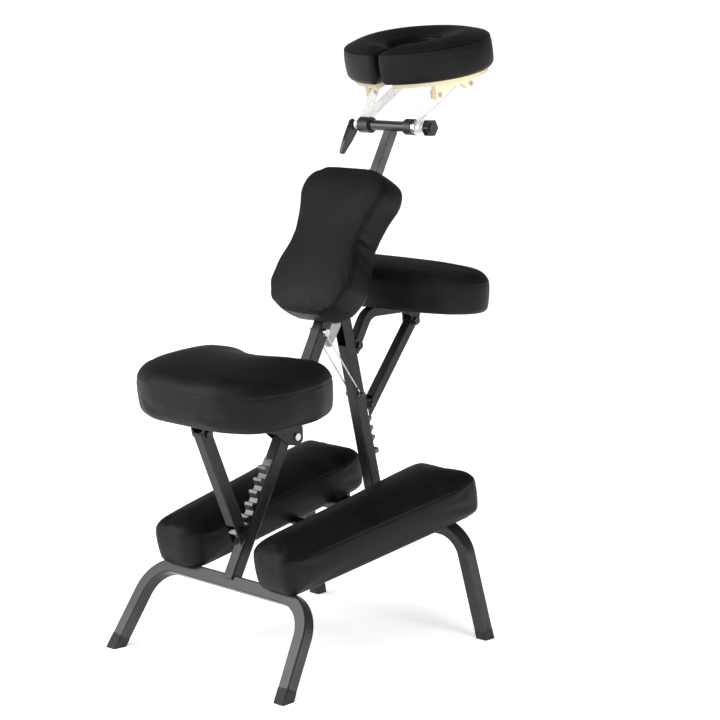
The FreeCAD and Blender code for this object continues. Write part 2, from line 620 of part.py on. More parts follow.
def strut(name, ty, tz, ey, ez, wname, cname, half_plug, tail, fork_gap, round_r):
    """square tube strut from its pivot (t) to its catch pin (e), lower end forked over the ratchet"""
    d = V(0, ey - ty, ez - tz)
    L = d.Length
    d.normalize()
    # local z from the pivot down the strut, local x stays X
    rot = FreeCAD.Rotation(V(1, 0, 0), -math.degrees(math.atan2(d.y, d.z)))
    pl = at(0, ty, tz, rot)
    w = D[wname]
    raw = square_tube(name + "_tube", wname, "tube_wall", cname, pl, -round_r, "%s" % round(L + tail + round_r, 4), L + tail + round_r)
    blk = doc.addObject("Part::Box", name + "_topblock")
    blk.Length, blk.Width, blk.Height = w + 6, w + 6, round_r + 1
    blk.Placement = pl.multiply(FreeCAD.Placement(V(-(w + 6) / 2, -(w + 6) / 2, -(round_r + 1)), FreeCAD.Rotation()))
    cyl = xcyl(name + "_topround", -20, 20, ty, tz, "dims.%s / 2" % wname)
    tc = cut(name + "_topcut", blk, cyl)
    h1 = xcyl(name + "_hole_t", -20, 20, ty, tz, "dims.bolt_radius")
    h2 = xcyl(name + "_hole_e", -20, 20, ey, ez, "dims.bolt_radius")
    # fork: open the tube through between its side walls over the catch end
    fk = doc.addObject("Part::Box", name + "_fork")
    wi = w - 2 * D["tube_wall"] - 0.02
    fk.Length, fk.Width, fk.Height = wi, w + 10, fork_gap
    fk.Placement = pl.multiply(FreeCAD.Placement(V(-wi / 2, -(w + 10) / 2, L + tail - fork_gap + 1), FreeCAD.Rotation()))
    return raw, [tc, h1, h2, fk], pl, L


raw, tools, seat_strut_pl, seat_strut_len = strut("seat_strut", STY, STZ, ETY, ETZ, "tube_width", "tube_corner", 0, 30.0, 46.0, 12.7)
# end cut parallel to the post face
endc = doc.addObject("Part::Box", "seat_strut_endcut")
endc.Length, endc.Width, endc.Height = 60, 60, 200
endc.Placement = PF.multiply(FreeCAD.Placement(V(-30, -16.2, -40), FreeCAD.Rotation()))
keep("seat_strut", cut("seat_strut", raw, fuse("seat_strut_tools", tools + [endc])))
keep("seat_strut_catch_pin", xbolt("seat_catch", -12.8, 12.8, ETY, ETZ, head=2.4, nut=2.4))

# ---------------------------------------------------------------- armrest
APY, APZ = 318.0, 566.0
ap_n = (APY - D["beam_base_y"]) * math.cos(ph) + (APZ - D["beam_base_z"]) * math.sin(ph)
ap_s = -(APY - D["beam_base_y"]) * math.sin(ph) + (APZ - D["beam_base_z"]) * math.cos(ph)
plates("armrest_pivot_lugs", BF, [(k, ap_s - 15, 0), (ap_n + 3, ap_s - 9.5, 7), (ap_n + 8.5, ap_s, 7), (ap_n + 3, ap_s + 9.5, 7), (k, ap_s + 15, 0)],
       (-10.6, 10.6), "dims.ear_thick", [(ap_n, ap_s, b_gap)], thick=D["ear_thick"])
arm_bolt = xbolt("armrest_pivot_bolt", -13.3, 13.3, APY, APZ)
group("beam_bolts", [lower_bolt, arm_bolt])
# bent tube that carries the armrest board: up from the pivot, round the bend, flat under the board
ab = newbody("armrest_tube", at(0, 0, 0))
path = sketch(ab, "YZ_Plane", "armrest_tube_path")
tz_flat = D["arm_pad_z"] - D["thin_width"] / 2
q0 = V(APY - 4.5, APZ - 7.5, 0)
q1 = V(352.0, tz_flat, 0)
q2 = V(461.0, tz_flat, 0)
aa = q0 - q1
aa.normalize()
bb = q2 - q1
bb.normalize()
an = math.acos(aa.dot(bb))
rb = 34.0
tt = rb / math.tan(an / 2)
s_, e_ = q1 + aa * tt, q1 + bb * tt
md = aa + bb
md.normalize()
cc = q1 + md * (rb / math.sin(an / 2))
mm = cc - md * rb
path.addGeometry(Part.LineSegment(q2, e_), False)
path.addGeometry(Part.Arc(e_, mm, s_), False)
path.addGeometry(Part.LineSegment(s_, q0), False)
prof = ab.newObject("Sketcher::SketchObject", "armrest_tube_section")
prof.AttachmentSupport = [(plane(ab, "XZ_Plane"), "")]
prof.MapMode = "FlatFace"
prof.AttachmentOffset = FreeCAD.Placement(V(0, 0, -q2.x), FreeCAD.Rotation())
kt = D["thin_width"] / 2
outline(prof, [(-kt, q2.y - kt, 2.5), (kt, q2.y - kt, 2.5), (kt, q2.y + kt, 2.5), (-kt, q2.y + kt, 2.5)])
kj = kt - D["tube_wall"]
outline(prof, [(-kj, q2.y - kj, 1.0), (kj, q2.y - kj, 1.0), (kj, q2.y + kj, 1.0), (-kj, q2.y + kj, 1.0)])
pp = ab.newObject("PartDesign::AdditivePipe", "armrest_tube_pipe")
pp.Profile = prof
pp.Spine = (path, ["Edge1", "Edge2", "Edge3"])
doc.recompute()
hb = xcyl("armrest_tube_hole", -20, 20, APY, APZ, "dims.bolt_radius")
# lower end cut back to clear the beam face through the whole tilt
backs = []
for i, turn in enumerate((0.0, 10.0, 20.5)):
    bk = doc.addObject("Part::Box", "armrest_tube_back_%d" % i)
    bk.Length, bk.Width, bk.Height = 60, 60, 160
    about = at(0, APY, APZ, FreeCAD.Rotation(V(1, 0, 0), turn)).multiply(at(0, APY, APZ).inverse())
    bk.Placement = about.multiply(BF).multiply(FreeCAD.Placement(V(-30, 13.3 - 60, ap_s - 80), FreeCAD.Rotation()))
    backs.append(bk)
keep("armrest_tube", cut("armrest_tube_drilled", ab, fuse("armrest_tube_tools", [hb] + backs)))

ha = D["arm_pad_half"]
arm_pts = [(111.6, 350.5, 126.0), (190.7, 377.2, 72.0), (ha, 419.9, 54.0), (212.0, 467.1, 41.4), (158.1, 489.4, 72.0), (65.1, 493.8, 180.0), (-65.1, 493.8, 180.0), (-158.1, 489.4, 72.0), (-212.0, 467.1, 41.4), (-ha, 419.9, 54.0), (-190.7, 377.2, 72.0), (-111.6, 350.5, 126.0), (0.0, 343.4, 180.0)]
slab("armrest_board", GF, "XY_Plane", shrink(arm_pts, 19, 0, 418.6, 223, 75), "dims.arm_board_thick", D["arm_board_thick"], offset=D["arm_pad_z"])
wrapped("armrest_cushion", GF, "XY_Plane", arm_pts, "dims.arm_pad_thick", D["arm_pad_thick"], "armrest_board", offset=D["arm_pad_z"])
ATY, ATZ = 476.0, 597.5
AEY, AEZ = 358.9, 444.3
zt2 = D["arm_pad_z"]
plates("armrest_strut_clevis", GF, [(ATY - 16, zt2, 0), (ATY - 8.5, ATZ - 9, 6), (ATY + 8.5, ATZ - 9, 6), (ATY + 16, zt2, 0)], (-10.9, 10.9), "dims.ear_thick", [(ATY, ATZ, b_gap)], thick=D["ear_thick"])
keep("armrest_strut_pivot_bolt", xbolt("armrest_strut_bolt", -13.6, 13.6, ATY, ATZ))
raw, tools, arm_strut_pl, arm_strut_len = strut("armrest_strut", ATY, ATZ, AEY, AEZ, "thin_width", "thin_corner", 0, 26.0, 42.0, 10.0)
endc = doc.addObject("Part::Box", "armrest_strut_endcut")
endc.Length, endc.Width, endc.Height = 60, 60, 200
endc.Placement = BF.multiply(FreeCAD.Placement(V(-30, 16.4 - 60, 120), FreeCAD.Rotation()))
keep("armrest_strut", cut("armrest_strut", raw, fuse("armrest_strut_tools", tools + [endc])))
keep("armrest_strut_catch_pin", xbolt("armrest_catch", -10.1, 10.1, AEY, AEZ, head=2.4, nut=2.4))

# ---------------------------------------------------------------- chest support
# sleeve around the post with a clamp knob on its front
sl = newbody("chest_slide_sleeve", PF)
sk = sketch(sl, "XY_Plane", "chest_sleeve_section", 622.0)
g = 12.9
outline(sk, [(-16.2, -16.2, 4), (16.2, -16.2, 4), (16.2, 16.2, 4), (-16.2, 16.2, 4)])
outline(sk, [(-g, -g, 1.5), (g, -g, 1.5), (g, g, 1.5), (-g, g, 1.5)])
pad(sl, sk, None, 72.0, name="chest_sleeve_pad")
doc.recompute()
sk = sketch(sl, "XZ_Plane", "chest_sleeve_boss", -16.0)
circle(sk, 0, 658.0, "7.5")
pad(sl, sk, None, 7.0, name="chest_sleeve_boss_pad", rev=True)
doc.recompute()
sk = sketch(sl, "XZ_Plane", "chest_sleeve_thread", -12.0)
circle(sk, 0, 658.0, "dims.bolt_radius")
hq = pocket(sl, sk, 14.0, both=False, name="chest_sleeve_hole")
keep("chest_slide_sleeve", sl)


def clamp_knob(name, s, n0, lobes, rad, length, shank0):
    """lobed hand knob with its screw, axis along the post's front normal"""
    b = newbody(name, PF)
    sk = sketch(b, "XZ_Plane", name + "_grip", -(n0))
    pts = []
    for i in range(2 * lobes):
        a = math.pi * i / lobes
        r = rad if i % 2 == 0 else rad * 0.80
        pts.append((r * math.cos(a), s + r * math.sin(a), 4.0))
    outline(sk, pts)
    pad(b, sk, None, length, name=name + "_grip_pad", rev=True)
    doc.recompute()
    sk = sketch(b, "XZ_Plane", name + "_screw", -shank0)
    circle(sk, 0, s, "dims.bolt_radius - dims.fit_gap")
    pad(b, sk, None, n0 - shank0 + 1.0, name=name + "_screw_pad", rev=True)
    doc.recompute()
    return keep(name, b)


clamp_knob("chest_clamp_knob", 658.0, 23.3, 6, 15.0, 13.0, 12.95)
# cushion and board on the rear face of the sleeve
cn = 16.2
chest_half = [(0, 509, 0), (50, 510, 40), (88, 528, 40), (106, 566, 40), (102, 606, 60), (82, 662, 90), (95, 721, 90), (111, 758, 40), (104, 794, 34), (60, 812, 60), (0, 814, 0)]
chest_full = [p for p in sym(chest_half) if abs(p[0]) > 1e-9]
slab("chest_board", PF, "XZ_Plane", shrink(chest_full, 18, 0, 661, 108, 150), "dims.chest_board_thick", D["chest_board_thick"], offset=cn)
wrapped("chest_cushion", PF, "XZ_Plane", chest_full, "dims.chest_thick", D["chest_thick"], "chest_board", offset=cn)

# ---------------------------------------------------------------- stem
CY, CZ = D["bar_y"], D["bar_z"]
stem_raw = square_tube("stem_tube_raw", "thin_width", "tube_wall", "thin_corner", PF, D["stem_start"], "dims.stem_length", D["stem_length"])
barc = xcyl("stem_cope", -30, 30, CY, CZ, "dims.bar_radius")
keep("stem_tube", cut("stem_tube", stem_raw, barc))
# weld nut and clamp knob that lock the stem, on the front of the post below its mouth
boss = doc.addObject("Part::Cylinder", "stem_clamp_nut")
boss.Radius = 7.5
boss.Height = 8.0
boss.Placement = PF.multiply(FreeCAD.Placement(V(0, k - 0.2, 772.0), FreeCAD.Rotation(V(1, 0, 0), -90)))
bore = doc.addObject("Part::Cylinder", "stem_clamp_bore")
bore.setExpression("Radius", "dims.bolt_radius")
bore.Height = 30.0
bore.Placement = PF.multiply(FreeCAD.Placement(V(0, k - 4.0, 772.0), FreeCAD.Rotation(V(1, 0, 0), -90)))
keep("main_post", cut("main_post", fuse("main_post_welded", [post_tube, boss] + post_lugs), bore))
clamp_knob("stem_clamp_knob", 772.0, k + 8.6, 6, 15.0, 13.0, k + 0.1)

# ---------------------------------------------------------------- cradle bar and clamps
bar_o = xcyl("bar_outer", -45, 47, CY, CZ, "dims.bar_radius")
bar_i = xcyl("bar_inner", -46, 48, CY, CZ, "dims.rod_radius")
keep("cradle_crossbar", cut("cradle_crossbar", bar_o, bar_i))


def ring(name, x0, x1, rexpr, bexpr, y=None, z=None):
    y = CY if y is None else y
    z = CZ if z is None else z
    return cut(name, xcyl(name + "_o", x0, x1, y, z, rexpr), xcyl(name + "_b", x0 - 1, x1 + 1, y, z, bexpr))


cl = fuse("clutch_left_body", [ring("clutch_left_a", -73.5, -47.0, "dims.clutch_radius", "dims.rod_radius"), ring("clutch_left_b", -47.0, -45.0, "dims.clutch_radius - 3", "dims.rod_radius")])
keep("clutch_sleeve_left", cl)
keep("clutch_sleeve_right", ring("clutch_right_a", 47.0, 66.5, "dims.clutch_radius", "dims.rod_radius"))
clutch_discs = [ring("disc_r1", 66.5, 69.3, "dims.clutch_radius - 1.5", "dims.rod_radius"), ring("disc_r2", 69.3, 72.5, "dims.clutch_radius - 4.5", "dims.rod_radius"), ring("disc_r3", 72.5, 75.4, "dims.clutch_radius - 1.5", "dims.rod_radius")]
clutch_discs.append(ring("clutch_disc_left", -75.4, -73.5, "dims.clutch_radius - 2.5", "dims.rod_radius"))
group("clutch_discs", clutch_discs)
rod = xcyl("tie_rod_shank", -98.0, 99.0, CY, CZ, "dims.rod_radius - dims.fit_gap")
keep("cradle_tie_rod", rod)
rod_washers = [ring("washer_l1", -87.4, -82.6, "dims.rod_radius + 5.5", "dims.rod_radius"), ring("washer_r1", 82.6, 86.6, "dims.rod_radius + 5.5", "dims.rod_radius"), ring("washer_r2", 86.6, 97.0, "dims.rod_radius + 2.8", "dims.rod_radius")]
group("rod_washers", rod_washers)

# tension knob on the right end of the rod: faceted grip with a hub
kb = newbody("tension_knob", at(0, CY, CZ))
sk = sketch(kb, "YZ_Plane", "tension_knob_grip", 99.3)
pts = []
for i in range(12):
    a = math.pi * i / 6
    r = 17.0 if i % 2 == 0 else 14.6
    pts.append((r * math.cos(a), r * math.sin(a), 3.0))
outline(sk, pts)
pad(kb, sk, None, 12.5, name="tension_knob_pad")
doc.recompute()
sk = sketch(kb, "YZ_Plane", "tension_knob_hub", 111.8)
circle(sk, 0, 0, "dims.rod_radius + 6")
pad(kb, sk, None, 3.0, name="tension_knob_hub_pad")
keep("tension_knob", kb)

# cam lever on the left end: round cam head and a tapering handle that hangs down and rearward
lv = math.atan2(383.0 - CY, 926.0 - CZ)                      # side view direction of the handle
LEV = at(-95.0, CY, CZ, FreeCAD.Rotation(V(1, 0, 0), -math.degrees(math.atan2(383.0 - CY, 926.0 - CZ))))
lev = newbody("cam_handle", LEV)
sk = sketch(lev, "YZ_Plane", "cam_lever_outline", 0)
outline(sk, [(-9.5, -2, 2), (9.5, -2, 2), (11.0, 12, 12), (9.2, 40, 40), (5.0, 65, 4.6), (-4.0, 65, 4.2), (-9.0, 34, 40), (-10.5, 12, 12)])
pad(lev, sk, None, 10.0, both=True, name="cam_lever_pad")
doc.recompute()
lsk = sketch(lev, "XZ_Plane", "cam_lever_side", 0)
# thin the handle toward its tip on the inner side
outline(lsk, [(8, 14, 0), (4.9, 14, 0), (0.6, 70, 0), (8, 70, 0)])
lp = pocket(lev, lsk, 60, both=True, name="cam_lever_taper")
doc.recompute()
head = doc.addObject("Part::Cylinder", "cam_head")
head.Radius = 7.2
head.Height = 19.0
head.Placement = LEV.multiply(FreeCAD.Placement(V(0, -9.5, 0), FreeCAD.Rotation(V(1, 0, 0), -90)))
# slot that lets the head swing on the rod end
slot1 = doc.addObject("Part::Box", "cam_slot")
slot1.Length, slot1.Width, slot1.Height = 14.2, 8.3, 14.2
slot1.Placement = LEV.multiply(FreeCAD.Placement(V(-4.2, -4.15, -10.0), FreeCAD.Rotation()))
slot2 = doc.addObject("Part::Cylinder", "cam_slot_round")
slot2.Radius = 5.3
slot2.Height = 8.3
slot2.Placement = LEV.multiply(FreeCAD.Placement(V(0, -4.15, 0), FreeCAD.Rotation(V(1, 0, 0), -90)))
keep("cam_lever", cut("cam_lever", fuse("cam_lever_solid", [lev, head]), fuse("cam_slots", [slot1, slot2])))

# ---------------------------------------------------------------- cradle arms, cheeks, platform
tau = math.radians(D["cradle_tilt"])
CF = at(0, D["cradle_y"], D["cradle_z"], FreeCAD.Rotation(V(1, 0, 0), D["cradle_tilt"]))


def cradle(p, q):
    return (D["cradle_y"] + p * math.cos(tau) - q * math.sin(tau), D["cradle_z"] + p * math.sin(tau) + q * math.cos(tau))


REARTOP = cradle(-55.0, -22.0)
FRONTTOP = cradle(35.0, -22.0)


def arm(name, top, x0, sx):
    """flat bright arm between the clamp rod and a cheek bolt"""
    d = V(0, top[0] - CY, top[1] - CZ)
    L = d.Length
    rot = FreeCAD.Rotation(V(1, 0, 0), -math.degrees(math.atan2(d.y, d.z)))
    b = newbody(name, at(0, CY, CZ, rot))
    sk = sketch(b, "YZ_Plane", name + "_outline", sx * x0)
    w = D["arm_width"] / 2
    outline(sk, [(-w, -w, w - 0.2), (w, -w, w - 0.2), (w, L + 9, 8.8), (-w, L + 9, 8.8)])
    circle(sk, 0, 0, "dims.rod_radius")
    circle(sk, 0, L, "2.5")
    pad(b, sk, "dims.arm_thick", D["arm_thick"], rev=(sx < 0), name=name + "_pad")
    return keep(name, b)


for side, sx in (("left", -1), ("right", 1)):
    arm("cradle_arm_rear_%s" % side, REARTOP, 76.0, sx)
    arm("cradle_arm_front_%s" % side, FRONTTOP, 79.4, sx)
    b = newbody("cheek_block_%s" % side, CF)
    sk = sketch(b, "YZ_Plane", "cheek_outline_%s" % side, sx * 82.4)
    outline(sk, [(-63.0, 0, 0), (-64.0, -30, 6), (-47.0, -33, 7), (-33.0, -20, 14), (11.6, -16, 14), (25.6, -30, 6), (43.0, -33, 6), (51.0, -14, 10), (56.0, 0, 0)])
    circle(sk, -55.0, -22.0, "2.5")
    circle(sk, 35.0, -22.0, "2.5")
    pad(b, sk, None, 11.0, rev=(sx < 0), name="cheek_pad_%s" % side)
    keep("cheek_block_%s" % side, b)
bolts = []
for side, sx in (("l", -1), ("r", 1)):
    for tag, top, xi in (("rear", REARTOP, 76.0), ("front", FRONTTOP, 79.4)):
        a0, a1 = xi, 93.4
        lo, hi = (a0 - 2.6, a1 + 2.8)
        if sx < 0:
            sh = xcyl("arm_bolt_s_%s_%s" % (side, tag), -a1 - 1, -a0 + 1, top[0], top[1], "2.45")
            hd = xcyl("arm_bolt_h_%s_%s" % (side, tag), -a1 - 2.8, -a1, top[0], top[1], "4.6")
            hn = xcyl("arm_bolt_n_%s_%s" % (side, tag), -a0, -a0 + 2.6, top[0], top[1], "4.4")
        else:
            sh = xcyl("arm_bolt_s_%s_%s" % (side, tag), a0 - 1, a1 + 1, top[0], top[1], "2.45")
            hd = xcyl("arm_bolt_h_%s_%s" % (side, tag), a1, a1 + 2.8, top[0], top[1], "4.6")
            hn = xcyl("arm_bolt_n_%s_%s" % (side, tag), a0 - 2.6, a0, top[0], top[1], "4.4")
        bolts.append(fuse("arm_bolt_%s_%s" % (side, tag), [sh, hd, hn]))
# spacer tubes between each rear arm and its cheek
group("cradle_arm_bolts", bolts + [ring("arm_spacer_%d" % i, a, b_, "5", "2.5", REARTOP[0], REARTOP[1]) for i, (a, b_) in enumerate(((-82.4, -78.6), (78.6, 82.4)))])


def crescent(hx, hy, ix, iy, cy, gap, n=26):
    """C outline open toward the user: outer oval, inner oval, slot at the rear"""
    pts = []
    a0 = math.asin(min(0.99, gap / hx))
    for i in range(n + 1):
        a = -math.pi / 2 + a0 + (2 * math.pi - 2 * a0) * i / n
        pts.append((hx * math.cos(a), hy * math.sin(a)))
    inner = []
    b0 = math.asin(min(0.99, gap / ix))
    for i in range(n + 1):
        a = -math.pi / 2 + b0 + (2 * math.pi - 2 * b0) * i / n
        inner.append((ix * math.cos(a), cy + iy * math.sin(a)))
    return pts, inner


def crescent_body(name, placement, offset, hx, hy, ix, iy, cy, gap, expr, value, corner, rnd=None):
    b = newbody(name, placement)
    sk = sketch(b, "XY_Plane", name + "_outline", offset)
    outer, inner = crescent(hx, hy, ix, iy, cy, gap)
    so = Part.BSplineCurve()
    so.interpolate([V(p[0], p[1], 0) for p in outer])
    si = Part.BSplineCurve()
    si.interpolate([V(p[0], p[1], 0) for p in reversed(inner)])
    sk.addGeometry(so, False)
    sk.addGeometry(Part.LineSegment(V(outer[-1][0], outer[-1][1], 0), V(inner[-1][0], inner[-1][1], 0)), False)
    sk.addGeometry(si, False)
    sk.addGeometry(Part.LineSegment(V(inner[0][0], inner[0][1], 0), V(outer[0][0], outer[0][1], 0)), False)
    p = pad(b, sk, expr, value, name=name + "_pad")
    doc.recompute()
    if corner:
        f = fillet(b, p, lambda e: along(e, V(0, 0, 1), value - 0.01), corner, name + "_corners")
        doc.recompute()
        p = f
    if rnd:
        fillet(b, p, lambda e: e.BoundBox.ZLength < 1e-4, rnd, name + "_rounding")
    return keep(name, b)


crescent_body("cradle_platform", CF, 0.0, D["face_half_x"] - 11, D["face_half_y"] - 11, 66.0, 62.0, -5.0, 20.0, "dims.platform_thick", D["platform_thick"], "6")
crescent_body("face_cushion", CF, D["platform_thick"], D["face_half_x"], D["face_half_y"], 57.0, 56.0, -5.0, 8.0, "dims.face_thick", D["face_thick"], "7", "9")

# ---------------------------------------------------------------- kneeler
KROT = FreeCAD.Rotation(V(1, 0, 0), D["knee_tilt"])
KF = at(0, D["front_tube_y"], D["beam_base_z"], KROT)       # origin on the front cross tube axis, local y up the slope
kb_ = D["knee_base"]
def knee_outline(sx, d=0.0):
    pts = [(78.6 + d, -417.2 + d, 34), (177.2 - d, -417.2 + d, 38), (181.8 - d, -386, 58), (222.7 - d, 16.1, 58), (219 - d, 51.2 - d, 30), (86 + d, 51.2 - d, 30), (78.6 + d, 23.9, 40)]
    if sx < 0:
        pts = [(-p[0], p[1], p[2]) for p in reversed(pts)]
    return pts
for side, sx in (("left", -1), ("right", 1)):
    slab("knee_board_%s" % side, KF, "XY_Plane", knee_outline(sx, 17.0), "dims.knee_board_thick", D["knee_board_thick"], offset=kb_)
    wrapped("knee_cushion_%s" % side, KF, "XY_Plane", knee_outline(sx), "dims.knee_thick", D["knee_thick"], "knee_board_%s" % side, offset=kb_)
# flat cross bars that tie the two boards together
cb = []
for i, (m0, m1) in enumerate(((-166.0, -144.0), (-58.0, -36.0))):
    bx = doc.addObject("Part::Box", "knee_cross_bar_%d" % i)
    bx.Length, bx.Width, bx.Height = 372.0, m1 - m0, 5.0
    bx.Placement = KF.multiply(FreeCAD.Placement(V(-186, m0, kb_ - 5.0), FreeCAD.Rotation()))
    cb.append(bx)
group("knee_cross_bars", cb)
# saddles under the boards: hinge clamps round the front tube and rests on the rear tube
sads = []
fr = D["tube_width"] / 2
for i, x in enumerate((-128.0, 104.0)):
    b = newbody("knee_hinge_saddle_%d" % i, KF)
    sk = sketch(b, "YZ_Plane", "knee_hinge_profile_%d" % i, x)
    outline(sk, [(-30, kb_, 0), (-30, kb_ - 6, 2), (-22.5, 8, 4), (-22.5, -6, 6), (-14, -21, 8), (14, -21, 8), (22.5, -6, 6), (22.5, 8, 4), (26, kb_ - 6, 2), (26, kb_, 0)])
    circle(sk, 0, 0, "18.3")
    pad(b, sk, None, 24.0, name="knee_hinge_pad_%d" % i)
    sads.append(b)
group("knee_hinge_saddles", sads)
rest = []
for i, x in enumerate((-142.0, 118.0)):
    b = newbody("knee_rest_block_%d" % i, KF)
    sk = sketch(b, "YZ_Plane", "knee_rest_profile_%d" % i, x)
    outline(sk, [(-409, kb_, 0), (-409, kb_ - 2.2, 1), (-378, kb_ - 2.2, 1), (-378, kb_, 0)])
    pad(b, sk, None, 24.0, name="knee_rest_pad_%d" % i)
    rest.append(b)
group("knee_rest_blocks", rest)

# ---------------------------------------------------------------- check and write
doc.recompute()
bad = []
for o in doc.Objects:
    if "Invalid" in o.State or "Error" in o.State:
        bad.append((o.Name, list(o.State)))
names = set()
for name, o in OUT:
    s = o.Shape
    if s.isNull() or not s.isValid():
        bad.append((name, "shape"))
    if name in names:
        bad.append((name, "duplicate"))
    names.add(name)
if bad:
    raise RuntimeError("failed objects: %s" % bad)
if len(OUT) > 60:
    raise RuntimeError("too many nodes: %d" % len(OUT))
os.makedirs("parts", exist_ok=True)
for name, o in OUT:
    o.Shape.exportStep("parts/%s.step" % name)
box = FreeCAD.BoundBox()
for name, o in OUT:
    box.add(o.Shape.BoundBox)
print("nodes", len(OUT), "box", round(box.XMin, 2), round(box.XMax, 2), round(box.YMin, 2), round(box.YMax, 2), round(box.ZMin, 2), round(box.ZMax, 2))
for name, o in OUT:
    print("%-28s solids %d volume %.0f" % (name, len(o.Shape.Solids), o.Shape.Volume))
print("points", "UPPER", UY + SY, UZ + SZ, "LOWER", LY + SY, LZ + SZ, "H", HY + SY, HZ + SZ)
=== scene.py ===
import json
import math

import bmesh
import bpy
import numpy as np
from mathutils import Matrix, Vector, noise


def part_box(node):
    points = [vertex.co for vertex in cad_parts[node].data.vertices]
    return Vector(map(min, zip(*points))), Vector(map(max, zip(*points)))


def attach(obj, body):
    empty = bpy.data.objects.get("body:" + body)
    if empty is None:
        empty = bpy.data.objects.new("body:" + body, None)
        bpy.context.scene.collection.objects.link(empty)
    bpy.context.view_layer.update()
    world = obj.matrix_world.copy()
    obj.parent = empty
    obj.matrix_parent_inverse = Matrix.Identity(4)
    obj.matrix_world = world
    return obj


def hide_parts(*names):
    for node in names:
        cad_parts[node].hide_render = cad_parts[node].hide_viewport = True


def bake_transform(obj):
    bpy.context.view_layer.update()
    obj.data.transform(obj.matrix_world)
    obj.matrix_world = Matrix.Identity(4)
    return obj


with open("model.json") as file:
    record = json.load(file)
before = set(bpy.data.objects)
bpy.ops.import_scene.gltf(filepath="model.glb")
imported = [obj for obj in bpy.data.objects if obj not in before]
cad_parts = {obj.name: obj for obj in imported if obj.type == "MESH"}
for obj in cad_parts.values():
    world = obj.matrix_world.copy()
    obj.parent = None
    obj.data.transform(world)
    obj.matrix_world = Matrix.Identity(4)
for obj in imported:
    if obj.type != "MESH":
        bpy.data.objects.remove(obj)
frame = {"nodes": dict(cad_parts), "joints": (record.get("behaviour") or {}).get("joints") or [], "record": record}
NODES = frame["nodes"]
JOINTS = {j["name"]: j for j in frame["joints"]}
BODY_OF = {n: b for b, ns in frame["record"]["behaviour"]["bodies"].items() for n in ns}
SLOT_OF = {s["node"]: s["material_slot"] for s in frame["record"]["subparts"]}


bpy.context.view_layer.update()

POST = Vector((0.0, math.sin(math.radians(27.55)), math.cos(math.radians(27.55))))
POST_FRONT = Vector((0.0, math.cos(math.radians(27.55)), -math.sin(math.radians(27.55))))
BEAM = Vector((0.0, -math.sin(math.radians(14.04)), math.cos(math.radians(14.04))))


# ------------------------------------------------------------------ node helpers
class Nodes:
    """small wrapper that makes a material's nodes"""

    def __init__(self, name):
        self.mat = bpy.data.materials.new(name)
        self.mat.use_nodes = True
        self.nt = self.mat.node_tree
        self.nt.nodes.clear()
        self.out = self.nt.nodes.new("ShaderNodeOutputMaterial")
        self.bsdf = self.nt.nodes.new("ShaderNodeBsdfPrincipled")
        self.nt.links.new(self.bsdf.outputs[0], self.out.inputs[0])
        tc = self.nt.nodes.new("ShaderNodeTexCoord")
        self.co = tc.outputs["Object"]

    def node(self, kind, **inputs):
        n = self.nt.nodes.new(kind)
        for k, v in inputs.items():
            self.put(n, k, v)
        return n

    def put(self, n, k, v):
        sock = n.inputs[k]
        if isinstance(v, bpy.types.NodeSocket):
            self.nt.links.new(v, sock)
        else:
            sock.default_value = v

    def set(self, **kw):
        for k, v in kw.items():
            self.put(self.bsdf, k.replace("_", " "), v)

    def noise(self, scale, detail=3.0, rough=0.55, co=None, distortion=0.0):
        n = self.node("ShaderNodeTexNoise", Scale=scale, Detail=detail, Roughness=rough, Distortion=distortion)
        self.nt.links.new(co or self.co, n.inputs["Vector"])
        return n.outputs["Fac"]

    def voronoi(self, scale, feature="F1", co=None, rand=1.0, out="Distance", smooth=None):
        n = self.nt.nodes.new("ShaderNodeTexVoronoi")
        n.feature = feature
        n.inputs["Scale"].default_value = scale
        n.inputs["Randomness"].default_value = rand
        if smooth is not None:
            n.inputs["Smoothness"].default_value = smooth
        self.nt.links.new(co or self.co, n.inputs["Vector"])
        return n.outputs[out]

    def mapping(self, scale=(1, 1, 1), rot=(0, 0, 0), loc=(0, 0, 0), co=None):
        n = self.nt.nodes.new("ShaderNodeMapping")
        n.inputs["Scale"].default_value = scale
        n.inputs["Rotation"].default_value = rot
        n.inputs["Location"].default_value = loc
        self.nt.links.new(co or self.co, n.inputs["Vector"])
        return n.outputs[0]

    def ramp(self, fac, stops, interp="LINEAR"):
        n = self.nt.nodes.new("ShaderNodeValToRGB")
        n.color_ramp.interpolation = interp
        els = n.color_ramp.elements
        while len(els) > 1:
            els.remove(els[-1])
        els[0].position, els[0].color = stops[0][0], self.rgba(stops[0][1])
        for p, c in stops[1:]:
            e = els.new(p)
            e.color = self.rgba(c)
        self.nt.links.new(fac, n.inputs[0])
        return n.outputs[0]

    @staticmethod
    def rgba(c):
        return (c, c, c, 1.0) if isinstance(c, (int, float)) else (c[0], c[1], c[2], 1.0)

    def math(self, op, a, b=0.0, clamp=False):
        n = self.nt.nodes.new("ShaderNodeMath")
        n.operation = op
        n.use_clamp = clamp
        self.put(n, 0, a)
        self.put(n, 1, b)
        return n.outputs[0]

    def mix(self, fac, a, b):
        n = self.nt.nodes.new("ShaderNodeMix")
        n.data_type = "RGBA"
        for i, v in ((0, fac), (6, a), (7, b)):
            if isinstance(v, bpy.types.NodeSocket):
                self.nt.links.new(v, n.inputs[i])
            else:
                n.inputs[i].default_value = v if i == 0 else self.rgba(v)
        return n.outputs[2]

    def bump(self, height, strength, distance, normal=None):
        n = self.node("ShaderNodeBump", Strength=strength, Distance=distance)
        self.nt.links.new(height, n.inputs["Height"])
        if normal is not None:
            self.nt.links.new(normal, n.inputs["Normal"])
        return n.outputs[0]

    def bevel_free_edges(self):
        """edge mask from the mesh's own convexity"""
        g = self.nt.nodes.new("ShaderNodeNewGeometry")
        return g.outputs["Pointiness"]


